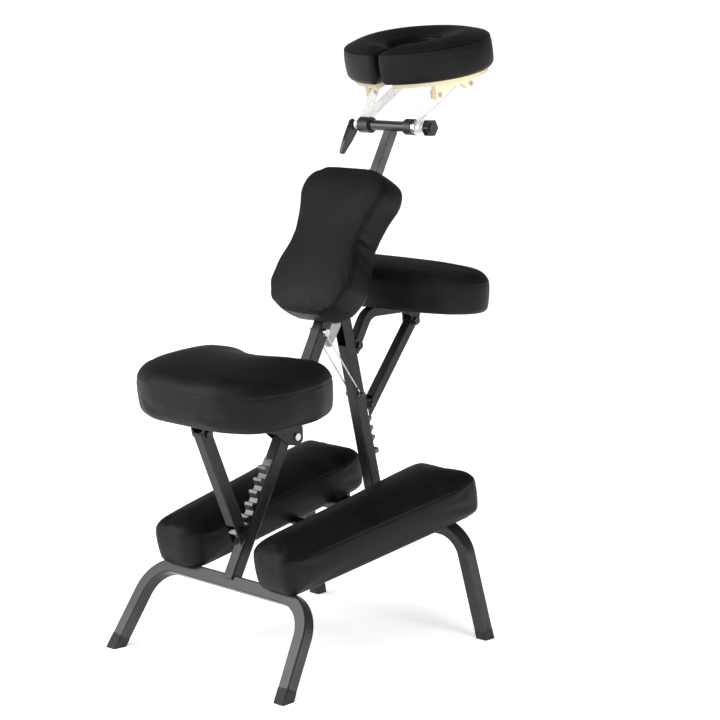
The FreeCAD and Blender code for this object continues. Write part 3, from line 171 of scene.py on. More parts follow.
# ------------------------------------------------------------------ materials
def leather(name, base=0.0055, rough=0.43, seed=0.0):
    m = Nodes(name)
    co = m.mapping(loc=(seed, seed * 0.7, -seed))
    cells = m.voronoi(620.0, "SMOOTH_F1", co, smooth=0.35)
    cracks = m.voronoi(620.0, "DISTANCE_TO_EDGE", co)
    crack = m.ramp(cracks, [(0.0, 0.0), (0.09, 0.75), (0.25, 1.0)])
    pores = m.noise(1500.0, 2.0, 0.6, co)
    soft = m.noise(26.0, 4.0, 0.55, co, 0.4)
    grain = m.math("ADD", m.math("MULTIPLY", crack, 0.7), m.math("MULTIPLY", cells, 0.6))
    grain = m.math("ADD", grain, m.math("MULTIPLY", pores, 0.18))
    b1 = m.bump(soft, 0.16, 0.0010)
    b2 = m.bump(grain, 0.42, 0.00028, b1)
    c0, c1 = base * 0.75, base * 1.35
    tone = m.ramp(soft, [(0.3, (c0, c0, c0 * 1.03)), (0.7, (c1, c1, c1 * 1.02))])
    col = m.mix(m.math("MULTIPLY", m.math("SUBTRACT", 1.0, crack), 0.55), tone, (base * 0.35,) * 3)
    m.set(Base_Color=col)
    r = m.math("ADD", m.math("MULTIPLY", soft, 0.14), rough - 0.07)
    r = m.math("ADD", r, m.math("MULTIPLY", m.math("SUBTRACT", 1.0, crack), 0.14))
    m.set(Roughness=r, Normal=b2)
    m.bsdf.inputs["Specular IOR Level"].default_value = 0.17
    m.bsdf.inputs["Sheen Weight"].default_value = 0.006
    m.bsdf.inputs["Sheen Roughness"].default_value = 0.5
    return m.mat


def paint(name, base=(0.030, 0.031, 0.032), rough=0.34, metal=0.55, fleck=0.22):
    """dark metallic powder coat: fine orange peel, flakes and rubbed edges"""
    m = Nodes(name)
    peel = m.noise(420.0, 3.0, 0.5)
    fine = m.voronoi(1900.0)
    wear = m.noise(34.0, 4.0, 0.6)
    tone = m.ramp(m.noise(1300.0, 2.0, 0.5), [(0.35, tuple(c * (1 - 0.35 * fleck) for c in base)), (0.68, tuple(c * (1 + 0.6 * fleck) for c in base))])
    edge = m.ramp(m.bevel_free_edges(), [(0.50, 0.0), (0.58, 1.0)])
    edge = m.math("MULTIPLY", edge, m.ramp(wear, [(0.42, 0.0), (0.62, 0.8)]))
    col = m.mix(m.math("MULTIPLY", edge, 0.22), tone, tuple(min(1, c * 2.6) for c in base))
    m.set(Base_Color=col)
    r = m.math("ADD", m.math("MULTIPLY", wear, 0.07), rough - 0.035)
    m.set(Roughness=r)
    n1 = m.bump(peel, 0.16, 0.00014)
    n2 = m.bump(fine, 0.10, 0.00006, n1)
    m.set(Normal=n2)
    m.bsdf.inputs["Metallic"].default_value = metal
    m.bsdf.inputs["Specular IOR Level"].default_value = 0.3
    m.bsdf.inputs["Coat Weight"].default_value = 0.06
    m.bsdf.inputs["Coat Roughness"].default_value = 0.25
    return m.mat


def metal(name, base=(0.62, 0.63, 0.64), rough=0.28, scratch=(40.0, 40.0, 900.0), rot=(0, 0, 0), metallic=1.0):
    """bright zinc plate with faint drawing marks and cloudy passivation"""
    m = Nodes(name)
    lines = m.noise(1.0, 4.0, 0.6, m.mapping(scale=scratch, rot=rot))
    cloud = m.noise(60.0, 4.0, 0.6)
    col = m.ramp(cloud, [(0.3, tuple(c * 0.82 for c in base)), (0.7, tuple(min(1, c * 1.1) for c in base))])
    m.set(Base_Color=col)
    m.set(Roughness=m.math("ADD", m.math("MULTIPLY", lines, 0.18), rough - 0.07))
    n1 = m.bump(lines, 0.22, 0.00006)
    n2 = m.bump(m.noise(900.0, 2.0), 0.12, 0.00005, n1)
    m.set(Normal=n2)
    m.bsdf.inputs["Metallic"].default_value = metallic
    return m.mat


def plastic(name, base=0.016, rough=0.34, texture=1400.0, amount=0.22, coat=0.0):
    m = Nodes(name)
    spark = m.noise(texture, 2.0, 0.5)
    cloud = m.noise(45.0, 3.0, 0.5)
    b = base if isinstance(base, tuple) else (base, base, base * 1.02)
    m.set(Base_Color=m.ramp(cloud, [(0.3, tuple(c * 0.85 for c in b)), (0.7, tuple(min(1, c * 1.12) for c in b))]))
    m.set(Roughness=m.math("ADD", m.math("MULTIPLY", cloud, 0.14), rough - 0.06))
    m.set(Normal=m.bump(spark, amount, 0.00012))
    m.bsdf.inputs["Coat Weight"].default_value = coat
    return m.mat


def rubber(name):
    m = Nodes(name)
    grit = m.noise(1100.0, 3.0, 0.6)
    dust = m.noise(70.0, 4.0, 0.6)
    m.set(Base_Color=m.ramp(dust, [(0.35, (0.011, 0.011, 0.011)), (0.75, (0.03, 0.029, 0.028))]))
    m.set(Roughness=m.math("ADD", m.math("MULTIPLY", dust, 0.2), 0.5))
    m.set(Normal=m.bump(grit, 0.35, 0.0002))
    m.bsdf.inputs["Specular IOR Level"].default_value = 0.35
    return m.mat


def plywood(name, normal, dark=1.0, pale=(0.80, 0.70, 0.50), deep=(0.62, 0.49, 0.30)):
    """veneer grain on the faces and layered plies on the edges; normal is the sheet's face direction"""
    m = Nodes(name)
    nrm = Vector(normal).normalized()
    # coordinate across the sheet, for the plies
    g = m.nt.nodes.new("ShaderNodeNewGeometry")
    dot = m.nt.nodes.new("ShaderNodeVectorMath")
    dot.operation = "DOT_PRODUCT"
    m.nt.links.new(m.co, dot.inputs[0])
    dot.inputs[1].default_value = nrm
    across = dot.outputs["Value"]
    facing = m.nt.nodes.new("ShaderNodeVectorMath")
    facing.operation = "DOT_PRODUCT"
    tc = [n for n in m.nt.nodes if n.bl_idname == "ShaderNodeTexCoord"][0]
    m.nt.links.new(tc.outputs["Normal"], facing.inputs[0])
    facing.inputs[1].default_value = nrm
    face = m.math("ABSOLUTE", facing.outputs["Value"])
    face = m.ramp(face, [(0.55, 0.0), (0.85, 1.0)])
    wood = m.noise(1.0, 5.0, 0.62, m.mapping(scale=(26.0, 260.0, 260.0)), 0.6)
    pores = m.noise(1.0, 3.0, 0.6, m.mapping(scale=(160.0, 2200.0, 2200.0)))
    veneer = m.ramp(wood, [(0.25, tuple(c * dark for c in deep)), (0.5, tuple(c * dark for c in pale)), (0.8, tuple(min(1, c * 1.07 * dark) for c in pale))])
    veneer = m.mix(m.math("MULTIPLY", m.ramp(pores, [(0.35, 1.0), (0.5, 0.0)]), 0.25), veneer, tuple(c * 0.7 * dark for c in deep))
    wobble = m.math("ADD", across, m.math("MULTIPLY", m.noise(90.0, 2.0), 0.0004))
    ply = m.math("FRACT", m.math("MULTIPLY", wobble, 620.0))
    plies = m.ramp(ply, [(0.0, tuple(c * 0.62 * dark for c in deep)), (0.12, tuple(c * 0.92 * dark for c in pale)), (0.5, tuple(c * dark for c in pale)), (0.56, tuple(c * 0.80 * dark for c in deep)), (0.98, tuple(c * 0.88 * dark for c in deep))])
    m.set(Base_Color=m.mix(face, plies, veneer))
    m.set(Roughness=m.math("ADD", m.math("MULTIPLY", wood, 0.18), 0.36))
    m.set(Normal=m.bump(m.math("ADD", wood, m.math("MULTIPLY", pores, 0.5)), 0.25, 0.0002))
    m.bsdf.inputs["Coat Weight"].default_value = 0.18
    m.bsdf.inputs["Coat Roughness"].default_value = 0.25
    return m.mat


def cloth_back(name):
    """black dust cover and dark board under a pad: a close plain weave"""
    m = Nodes(name)
    w1 = m.noise(1.0, 2.0, 0.5, m.mapping(scale=(1600.0, 260.0, 260.0)))
    w2 = m.noise(1.0, 2.0, 0.5, m.mapping(scale=(260.0, 1600.0, 1600.0)))
    wv = m.math("MULTIPLY", w1, w2)
    m.set(Base_Color=m.ramp(wv, [(0.15, (0.010, 0.010, 0.010)), (0.4, (0.032, 0.031, 0.030))]))
    m.set(Roughness=m.math("ADD", m.math("MULTIPLY", wv, 0.3), 0.66))
    m.set(Normal=m.bump(wv, 0.5, 0.0003))
    m.bsdf.inputs["Specular IOR Level"].default_value = 0.25
    return m.mat


TILT_FACE = math.radians(12.6)
TILT_KNEE = math.radians(11.06)
SEAT_N = Vector((0, -math.sin(math.radians(4.0)), math.cos(math.radians(4.0))))
FACE_N = Vector((0, -math.sin(TILT_FACE), math.cos(TILT_FACE)))
KNEE_N = Vector((0, -math.sin(TILT_KNEE), math.cos(TILT_KNEE)))

MAT = {
    "paint": paint("frame_powder_coat"),
    # painted shade: a darker copy of the one frame powder coat, standing in for the shade these parts sit in
    "paint_painted_shade": paint("strut_powder_coat_painted_shade", base=(0.018, 0.019, 0.020), rough=0.33, metal=0.45),
    # painted light: a much lighter copy of the one frame powder coat, standing in for the light on the stem
    "paint_lit": paint("stem_powder_coat_painted_light", base=(0.090, 0.093, 0.095), rough=0.34),
    # painted light: a lighter copy of the one frame powder coat, standing in for the light on the rear frame
    "paint_painted_light_mid": paint("rear_frame_powder_coat_painted_light", base=(0.042, 0.044, 0.046), rough=0.30, metal=0.60),
    "zinc": metal("bright_zinc"),
    "zinc_arm": metal("bright_zinc_flat_bar", base=(0.90, 0.905, 0.91), rough=0.26, scratch=(900.0, 30.0, 30.0), metallic=0.35),
    "zinc_mid": metal("grey_zinc", base=(0.36, 0.365, 0.37), rough=0.32),
    "bolt_dark": metal("blackened_bolt", base=(0.055, 0.056, 0.058), rough=0.34),
    "zinc_dull": metal("dull_zinc", base=(0.15, 0.152, 0.155), rough=0.36),
    "wire": metal("wire_rope_steel", base=(0.70, 0.71, 0.72), rough=0.30, scratch=(300.0, 300.0, 300.0)),
    "chrome": metal("chrome_disc", base=(0.82, 0.83, 0.85), rough=0.14),
    "plastic": plastic("black_moulded_plastic"),
    "plastic_gloss": plastic("black_knob_plastic", base=0.012, rough=0.24, amount=0.12, coat=0.15),
    "nylon": plastic("white_nylon", base=(0.80, 0.80, 0.77), rough=0.38),
    "rubber": rubber("black_rubber"),
    "plywood": plywood("birch_platform", FACE_N),
    "cheek": plywood("birch_cheek", (1, 0, 0)),
    "board": cloth_back("dark_backing"),
}

NODE_MAT = {}
for n, s in SLOT_OF.items():
    NODE_MAT[n] = {
        "frame_paint": "paint", "zinc": "zinc", "chrome_wire": "wire", "pad_leather": None, "board": "board",
        "plywood": "plywood", "black_plastic": "plastic", "white_nylon": "nylon", "rubber_cap": "rubber",
    }[s]
# painted shade: these frame parts get the darker copy of the powder coat
for n in ("seat_strut", "armrest_strut", "armrest_tube", "seat_bracket", "armrest_strut_clevis", "front_beam", "chest_slide_sleeve", "knee_cross_bars"):
    NODE_MAT[n] = "paint_painted_shade"
# painted light: the stem gets the much lighter copy of the powder coat
for n in ("stem_tube",):
    NODE_MAT[n] = "paint_lit"
# painted light: the rear frame gets a lighter copy of the powder coat
NODE_MAT["rear_leg_frame"] = "paint_painted_light_mid"
for n in NODES:
    if n.startswith("cradle_arm_") and n != "cradle_arm_bolts":
        NODE_MAT[n] = "zinc_arm"
    if n.startswith("cheek_block"):
        NODE_MAT[n] = "cheek"
for n in ("seat_ratchet", "armrest_ratchet"):
    NODE_MAT[n] = "zinc_dull"
for n in ("cradle_crossbar", "cam_lever", "tension_knob", "chest_clamp_knob", "stem_clamp_knob"):
    NODE_MAT[n] = "plastic_gloss"
NODE_MAT["clutch_discs"] = "chrome"
NODE_MAT["fold_hinge_bracket"] = "zinc_mid"
for n in ("seat_strut_pivot_bolt", "armrest_strut_pivot_bolt", "seat_strut_catch_pin", "armrest_strut_catch_pin", "beam_bolts"):
    NODE_MAT[n] = "bolt_dark"


def dress(ob, mat):
    ob.data.materials.clear()
    ob.data.materials.append(mat)


for n, ob in NODES.items():
    if NODE_MAT[n]:
        dress(ob, MAT[NODE_MAT[n]])

# ------------------------------------------------------------------ mesh helpers


def new_object(name, verts, faces, mat=None, smooth=True):
    me = bpy.data.meshes.new(name)
    me.from_pydata([tuple(v) for v in verts], [], faces)
    me.validate()
    me.update()
    ob = bpy.data.objects.new(name, me)
    bpy.context.scene.collection.objects.link(ob)
    if smooth:
        for p in me.polygons:
            p.use_smooth = True
    if mat is not None:
        me.materials.append(mat)
    return ob


def apply_modifiers(ob):
    dg = bpy.context.evaluated_depsgraph_get()
    me = bpy.data.meshes.new_from_object(ob.evaluated_get(dg))
    old = ob.data
    ob.modifiers.clear()
    ob.data = me
    me.name = ob.name
    bpy.data.meshes.remove(old)


def section(node, point, normal):
    """outline of a CAD solid on a plane, as one closed run of points"""
    bm = bmesh.new()
    bm.from_mesh(NODES[node].data)
    bmesh.ops.remove_doubles(bm, verts=bm.verts, dist=2e-6)
    cut = bmesh.ops.bisect_plane(bm, geom=bm.verts[:] + bm.edges[:] + bm.faces[:], plane_co=point, plane_no=normal, clear_inner=True, clear_outer=True)
    edges = [e for e in cut["geom_cut"] if isinstance(e, bmesh.types.BMEdge)]
    near = {}
    for e in edges:
        a, b = e.verts
        near.setdefault(a, []).append(b)
        near.setdefault(b, []).append(a)
    best, seen = [], set()
    for start in near:
        if start in seen:
            continue
        run, prev, cur = [start], None, start
        seen.add(start)
        while True:
            nxt = [v for v in near[cur] if v is not prev and v not in seen]
            if not nxt:
                break
            prev, cur = cur, nxt[0]
            seen.add(cur)
            run.append(cur)
        if len(run) > len(best):
            best = run
    pts = np.array([v.co[:] for v in best], float)
    bm.free()
    return pts


def resample_closed(p, corners, na, nb):
    """closed polygon p (N,2) resampled with four corners at given points; sides have na, nb, na, nb steps"""
    d = np.hypot(*(np.roll(p, -1, 0) - p).T)
    s = np.concatenate([[0], np.cumsum(d)])
    L = s[-1]
    q = np.vstack([p, p[:1]])

    def near(c):
        # nearest parameter on the fine outline
        t = np.linspace(0, L, 4001)[:-1]
        xy = np.stack([np.interp(t, s, q[:, 0]), np.interp(t, s, q[:, 1])], 1)
        return t[np.argmin(np.hypot(*(xy - np.array(c)).T))]

    cs = [near(c) for c in corners]
    out = []
    for k in range(4):
        a, b = cs[k], cs[(k + 1) % 4]
        if b <= a:
            b += L
        n = (na, nb)[k % 2]
        t = (a + (b - a) * np.arange(n) / n) % L
        out.append(np.stack([np.interp(t, s, q[:, 0]), np.interp(t, s, q[:, 1])], 1))
    return np.vstack(out)


def smooth_loop(v, times, w=0.5):
    for _ in range(times):
        v = v * (1 - w) + w * 0.5 * (np.roll(v, 1, 0) + np.roll(v, -1, 0))
    return v


def coons(loop, na, nb, relax=30):
    g = np.zeros((na + 1, nb + 1, loop.shape[1]))
    N = len(loop)
    idx = -np.ones((na + 1, nb + 1), int)
    for i in range(na + 1):
        idx[i, 0] = i
        idx[i, nb] = (2 * na + nb - i) % N
    for j in range(nb + 1):
        idx[na, j] = (na + j) % N
        idx[0, j] = (N - j) % N
    for i in range(na + 1):
        for j in range(nb + 1):
            if idx[i, j] >= 0:
                g[i, j] = loop[idx[i, j]]
    s = np.linspace(0, 1, na + 1)[:, None, None]
    t = np.linspace(0, 1, nb + 1)[None, :, None]
    B, T = g[:, :1], g[:, -1:]
    Lf, R = g[:1, :], g[-1:, :]
    P = (1 - t) * B + t * T + (1 - s) * Lf + s * R - ((1 - s) * (1 - t) * g[:1, :1] + s * (1 - t) * g[-1:, :1] + (1 - s) * t * g[:1, -1:] + s * t * g[-1:, -1:])
    for _ in range(relax):
        P[1:-1, 1:-1] = 0.25 * (P[:-2, 1:-1] + P[2:, 1:-1] + P[1:-1, :-2] + P[1:-1, 2:])
    return P, idx


def loop_normals(p):
    t = np.roll(p, -1, 0) - np.roll(p, 1, 0)
    t /= np.maximum(np.hypot(*t.T)[:, None], 1e-9)
    area = 0.5 * np.sum(p[:, 0] * np.roll(p[:, 1], -1) - np.roll(p[:, 0], -1) * p[:, 1])
    n = np.stack([-t[:, 1], t[:, 0]], 1)
    return n if area > 0 else -n          # points into the outline


class Pad:
    """one upholstered pad: rings down its sides, a grid on its face and its base"""

    def __init__(self, node, n, u, rings, seam_rings, spacing=0.0062, corners=None, face_lift=0.004, relax=30, name=None, crown=0.006, crown_len=0.03, grid=None, fit=(1.0, 1.0, 0.0, 0.0), drop=0.0, grow=0.0):
        self.node, self.body = node, BODY_OF[node]
        n, u = Vector(n).normalized(), Vector(u).normalized()
        v = n.cross(u)
        me = NODES[node].data
        co = np.array([x.co[:] for x in me.vertices], float)
        ax = np.array([u[:], v[:], n[:]])
        loc = co @ ax.T
        lo, hi = loc.min(0), loc.max(0)
        mid = (lo + hi) / 2
        self.T = hi[2] - lo[2] + drop + grow
        self.ax, self.org = ax, np.array([mid[0], mid[1], lo[2] - drop]) @ ax
        pt = Vector(self.org + ax[2] * self.T * 0.5)
        pts = (section(node, pt, n) - self.org) @ ax.T
        p = pts[:, :2] * np.array(fit[:2]) + np.array(fit[2:])
        A, B = (hi - lo)[:2] / 2
        if corners is None:
            corners = [(-A * 0.8, -B), (A * 0.8, -B), (A * 0.8, B), (-A * 0.8, B)]
        area = 0.5 * np.sum(p[:, 0] * np.roll(p[:, 1], -1) - np.roll(p[:, 0], -1) * p[:, 1])
        if area < 0:
            p = p[::-1]
        per = np.sum(np.hypot(*(np.roll(p, -1, 0) - p).T))
        # side lengths for the counts
        if grid is None:
            probe = resample_closed(p, corners, 100, 100)
            d = np.hypot(*(np.roll(probe, -1, 0) - probe).T)
            la, lb = max(d[:100].sum(), d[200:300].sum()), max(d[100:200].sum(), d[300:].sum())
            grid = (max(6, int(round(la / spacing))), max(6, int(round(lb / spacing))))
        na, nb = grid
        loop = resample_closed(p, corners, na, nb)
        self.N = N = len(loop)
        nin = loop_normals(smooth_loop(loop, 2))
        verts, faces = [], []
        self.ring_h = []
        for (d, h, sm) in rings:
            r = smooth_loop(loop + nin * d, sm)
            verts.append(np.column_stack([r, np.full(N, h if h >= 0 else self.T + h)]))
        R = len(rings)
        for k in range(R - 1):
            for i in range(N):
                j = (i + 1) % N
                faces.append((k * N + i, k * N + j, (k + 1) * N + j, (k + 1) * N + i))
        base = R * N
        extra = []
        for which in (0, R - 1):
            ring = verts[which]
            P, idx = coons(ring[:, :2], na, nb, relax)
            vid = np.zeros((na + 1, nb + 1), int)
            for i in range(na + 1):
                for j in range(nb + 1):
                    if idx[i, j] >= 0:
                        vid[i, j] = which * N + idx[i, j]
                    else:
                        x, y = P[i, j]
                        dist = np.min(np.hypot(ring[:, 0] - x, ring[:, 1] - y))
                        z = ring[0, 2] + (crown * (1 - math.exp(-dist / crown_len)) if which else 0.0)
                        vid[i, j] = base + len(extra)
                        extra.append((x, y, z))
            for i in range(na):
                for j in range(nb):
                    f = (vid[i, j], vid[i + 1, j], vid[i + 1, j + 1], vid[i, j + 1])
                    faces.append(f if which else f[::-1])
        self.local = np.vstack(verts + [np.array(extra)])
        self.R, self.seams, self.rings = R, seam_rings, rings
        self.loop = loop
        self.faces = faces
        d = np.hypot(*(np.roll(loop, -1, 0) - loop).T)
        self.run = np.concatenate([[0], np.cumsum(d)])[:-1]
        self.length = d.sum()
        name = name or node + "_upholstery"
        self.ob = new_object(name, self.world(), faces)
        self.pin = np.zeros(len(self.local))
        self.pin[self.local[:, 2] < 0.0012] = 1.0

    def world(self, loc=None):
        return (self.local if loc is None else loc) @ self.ax + self.org

    def ring(self, k):
        return slice((k % self.R) * self.N, (k % self.R) * self.N + self.N)

    def cloth(self, pressure=3.5, seam_pin=0.75, shrink=0.004, bending=0.6, tension=16.0):
        ob = self.ob
        for k in self.seams:
            self.pin[self.ring(k)] = np.maximum(self.pin[self.ring(k)], seam_pin)
        vg = ob.vertex_groups.new(name="held")
        for i, w in enumerate(self.pin):
            if w > 0:
                vg.add([i], float(w), "REPLACE")
        md = ob.modifiers.new("upholstery", "CLOTH")
        st = md.settings
        st.quality = 6
        st.mass = 0.35
        st.air_damping = 2.0
        st.tension_stiffness = tension
        st.compression_stiffness = tension
        st.shear_stiffness = 6.0
        st.bending_stiffness = bending
        st.vertex_group_mass = "held"
        st.pin_stiffness = 1.0
        st.use_pressure = True
        st.uniform_pressure_force = pressure
        st.shrink_min = shrink
        st.effector_weights.gravity = 0.0
        md.collision_settings.use_collision = False
        md.point_cache.frame_start = 1
        md.point_cache.frame_end = 40
        self.md = md

    def take(self, cap):
        dg = bpy.context.evaluated_depsgraph_get()
        ev = self.ob.evaluated_get(dg)
        co = np.zeros(len(ev.data.vertices) * 3)
        ev.data.vertices.foreach_get("co", co)
        loc = (co.reshape(-1, 3) - self.org) @ self.ax.T
        d = loc - self.local
        L = np.linalg.norm(d, axis=1)
        k = cap * np.tanh(L / cap) / np.maximum(L, 1e-9)
        self.local = self.local + d * k[:, None]
        self.ob.modifiers.clear()
        self.ob.vertex_groups.clear()

    def normals(self):
        me = self.ob.data
        co = self.world()
        me.vertices.foreach_set("co", co.ravel())
        me.update()
        n = np.zeros(len(me.vertices) * 3)
        me.vertices.foreach_get("normal", n)
        return n.reshape(-1, 3) @ self.ax.T

    def groove(self, k, depth=0.0018, lip=0.0007, wave=0.35, seed=0.0, only=None):
        """sewn seam along ring k: the seam sinks, its neighbours stand up, with small puckers"""
        nrm = self.normals()
        s = self.run / self.length
        for dk, amt in ((0, -depth), (-1, lip), (1, lip)):
            kk = k + dk
            if not 0 <= kk < self.R:
                continue
            sl = self.ring(kk)
            m = np.ones(self.N)
            for i in range(self.N):
                a = 2 * math.pi * s[i]
                m[i] = 1 + wave * noise.noise(Vector((math.cos(a) * self.length * 22, math.sin(a) * self.length * 22, seed + dk * 0.3)))
            if only is not None:
                m = m * only
            self.local[sl] += nrm[sl] * (amt * m)[:, None]

    def pucker(self, k, reach=0.022, amount=0.0009, freq=95.0, seed=0.0, where=None):
        """fine gathers square to the seam that die out away from it"""
        nrm = self.normals()
        hk = self.local[self.ring(k)]
        s = self.run
        for kk in range(self.R):
            sl = self.ring(kk)
            dist = np.linalg.norm(self.local[sl] - hk, axis=1)
            fall = np.exp(-(dist / reach) ** 2) * (dist > 1e-6)
            w = np.array([noise.noise(Vector((x * freq, seed, kk * 0.12))) for x in s])
            if where is not None:
                w = w * where(self.loop, s)
            self.local[sl] += nrm[sl] * (amount * w * fall)[:, None]

    def ripple(self, amount=0.0012, scale=9.0, seed=0.0, top_only=True):
        """slow unevenness of foam and hide"""
        nrm = self.normals()
        z = self.local[:, 2]
        m = (z > 0.35 * self.T) if top_only else (z > 0.004)
        for i in np.nonzero(m)[0]:
            x, y, q = self.local[i]
            w = noise.noise(Vector((x * scale, y * scale, q * scale + seed))) + 0.4 * noise.noise(Vector((x * scale * 2.7, y * scale * 2.7, q * scale * 2.7 + seed + 9)))
            self.local[i] += nrm[i] * amount * w

    def crease(self, a, b, width=0.004, depth=0.0015, lip=0.5):
        """a soft fold along a straight line between two local points"""
        nrm = self.normals()
        a, b = np.array(a, float), np.array(b, float)
        ab = b - a
        L2 = ab @ ab
        t = np.clip(((self.local - a) @ ab) / L2, 0, 1)
        q = a + t[:, None] * ab
        d = np.linalg.norm(self.local - q, axis=1)
        ends = np.clip(np.minimum(t, 1 - t) / 0.18, 0, 1)
        w = -depth * np.exp(-(d / width) ** 2) + lip * depth * np.exp(-((d - 1.9 * width) / width) ** 2)
        self.local += nrm * (w * ends)[:, None]

    def finish(self, mat, creases=(), fill=0.8, levels=1):
        self.normals()
        me = self.ob.data
        if creases:
            attr = me.attributes.get("crease_edge") or me.attributes.new("crease_edge", "FLOAT", "EDGE")
            want = set()
            for k in creases:
                o = (k % self.R) * self.N
                for i in range(self.N):
                    want.add((o + i, o + (i + 1) % self.N))
            vals = np.zeros(len(me.edges), np.float32)
            for e in me.edges:
                a, b = e.vertices
                if (a, b) in want or (b, a) in want:
                    vals[e.index] = 0.8
            attr.data.foreach_set("value", vals)
        md = self.ob.modifiers.new("fine", "SUBSURF")
        md.levels = md.render_levels = levels
        apply_modifiers(self.ob)
        for p in self.ob.data.polygons:
            p.use_smooth = True
        self.ob.data.materials.clear()
        self.ob.data.materials.append(mat)
        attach(self.ob, self.body)
        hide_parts(self.node)


# ------------------------------------------------------------------ cushions
def side_rings(T, seam_top=0.020, seam_low=0.0, inset=0.0, crown_r=0.020, steps=6, low_r=0.014, bulge=0.003):
    """rings from the base, round the lower edge, up the side, over the rim to the face"""
    rings = [(inset + low_r + 0.012, 0.0, 2), (inset + low_r + 0.004, 0.0, 1), (inset + low_r * 0.9, 0.0003, 0)]
    h0, h1 = low_r, T - crown_r
    for a in (18, 36, 54, 72, 86):
        t = math.radians(a)
        rings.append((inset + low_r * (1 - math.sin(t)) * 0.9, low_r * (1 - math.cos(t)), 0))
    seams = []
    top = T - seam_top
    zs = []
    if seam_low > low_r + 0.004:
        zs += [seam_low - 0.0022, seam_low, seam_low + 0.0022]
    a0 = zs[-1] if zs else h0
    n = max(2, int((top - 0.0022 - a0) / 0.0058))
    for k in range(1, n):
        zs.append(a0 + (top - 0.0022 - a0) * k / n)
    zs += [top - 0.0022, top, top + 0.0022]
    for z in zs:
        rings.append((inset, z, 0))
        if abs(z - seam_low) < 1e-9 or abs(z - top) < 1e-9:
            seams.append(len(rings) - 1)
    z1 = zs[-1]
    # rim as a quarter ellipse from the last side ring to the face
    hh = T - z1
    for k in range(1, steps + 1):
        t = math.radians(90 * k / (steps + 0.6))
        rings.append((inset + crown_r * (1 - math.cos(t)), z1 + hh * math.sin(t) * 0.97, int(2 * k)))
    rings = [(d - bulge * math.sin(math.pi * min(1.0, max(0.0, h / T))) ** 0.8, h, m) for d, h, m in rings]
    return rings, seams


pads = {}
START = 0.0006


def make(key, node, n, u, **kw):
    side = dict(seam_top=0.020, inset=0.0, crown_r=0.020, low_r=0.014, steps=6, bulge=0.004)
    side.update(kw.pop("side", {}))
    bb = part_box(node)
    me = NODES[node].data
    nn = Vector(n).normalized()
    hs = [x.co.dot(nn) for x in me.vertices]
    T = max(hs) - min(hs) + kw.get("drop", 0.0) + kw.get("grow", 0.0)
    rings, seams = side_rings(T - START, **side)
    pads[key] = Pad(node, n, u, rings, seams, **kw)
    return pads[key]


X, Y, Z = Vector((1, 0, 0)), Vector((0, 1, 0)), Vector((0, 0, 1))
make("seat", "seat_cushion", SEAT_N, X, spacing=0.0068, side=dict(seam_top=0.036, crown_r=0.038, inset=-0.0015, steps=8, low_r=0.017, bulge=0.0055), crown=0.022, crown_len=0.065, drop=0.004, grow=0.007, fit=(1.0, 1.01, 0.001, 0.002))
make("arm", "armrest_cushion", Z, X, spacing=0.0068, side=dict(seam_top=0.030, crown_r=0.032, inset=-0.001, steps=8, low_r=0.010, bulge=0.0045), crown=0.014, crown_len=0.05, drop=0.001, grow=0.004)
make("chest", "chest_cushion", -POST_FRONT, POST, spacing=0.0064, side=dict(seam_top=0.0085, crown_r=0.012, inset=-0.001, low_r=0.009, bulge=0.0035), crown=0.006, crown_len=0.03, fit=(0.955, 0.962, -0.0022, -0.0020), grow=0.003, drop=0.007)
KNEE_U = Vector((0, math.cos(TILT_KNEE), math.sin(TILT_KNEE)))
for side_name in ("left", "right"):
    make("knee_" + side_name, "knee_cushion_" + side_name, KNEE_N, KNEE_U, spacing=0.0068, side=dict(seam_top=0.024, crown_r=0.028, inset=-0.001, low_r=0.015, bulge=0.005, steps=8), crown=0.014, crown_len=0.045, grow=0.005,
         corners=[(-0.222, -0.060), (0.222, -0.060), (0.222, 0.060), (-0.222, 0.060)], drop=0.008, fit=(0.985, 1.04, 0.0, 0.003 if side_name == "left" else -0.003))
make("face", "face_cushion", FACE_N, X, spacing=0.0060, side=dict(seam_top=0.008, crown_r=0.011, inset=-0.001, low_r=0.011, steps=6, bulge=0.003), crown=0.015, crown_len=0.032, grow=-0.0035,
     corners=[(0.011, -0.119), (-0.011, -0.119), (-0.011, -0.061), (0.011, -0.061)], relax=4)

SIM = dict(
    seat=dict(pressure=3.0, cap=0.0050), arm=dict(pressure=3.0, cap=0.0045), chest=dict(pressure=3.0, cap=0.0055),
    knee_left=dict(pressure=3.0, cap=0.0035), knee_right=dict(pressure=3.0, cap=0.0035), face=dict(pressure=2.4, cap=0.0055),
)
scene = bpy.context.scene
for key, p in pads.items():
    p.cloth(pressure=SIM[key]["pressure"])
for f in range(1, 19):
    scene.frame_set(f)
for key, p in pads.items():
    p.take(SIM[key]["cap"])
scene.frame_set(1)

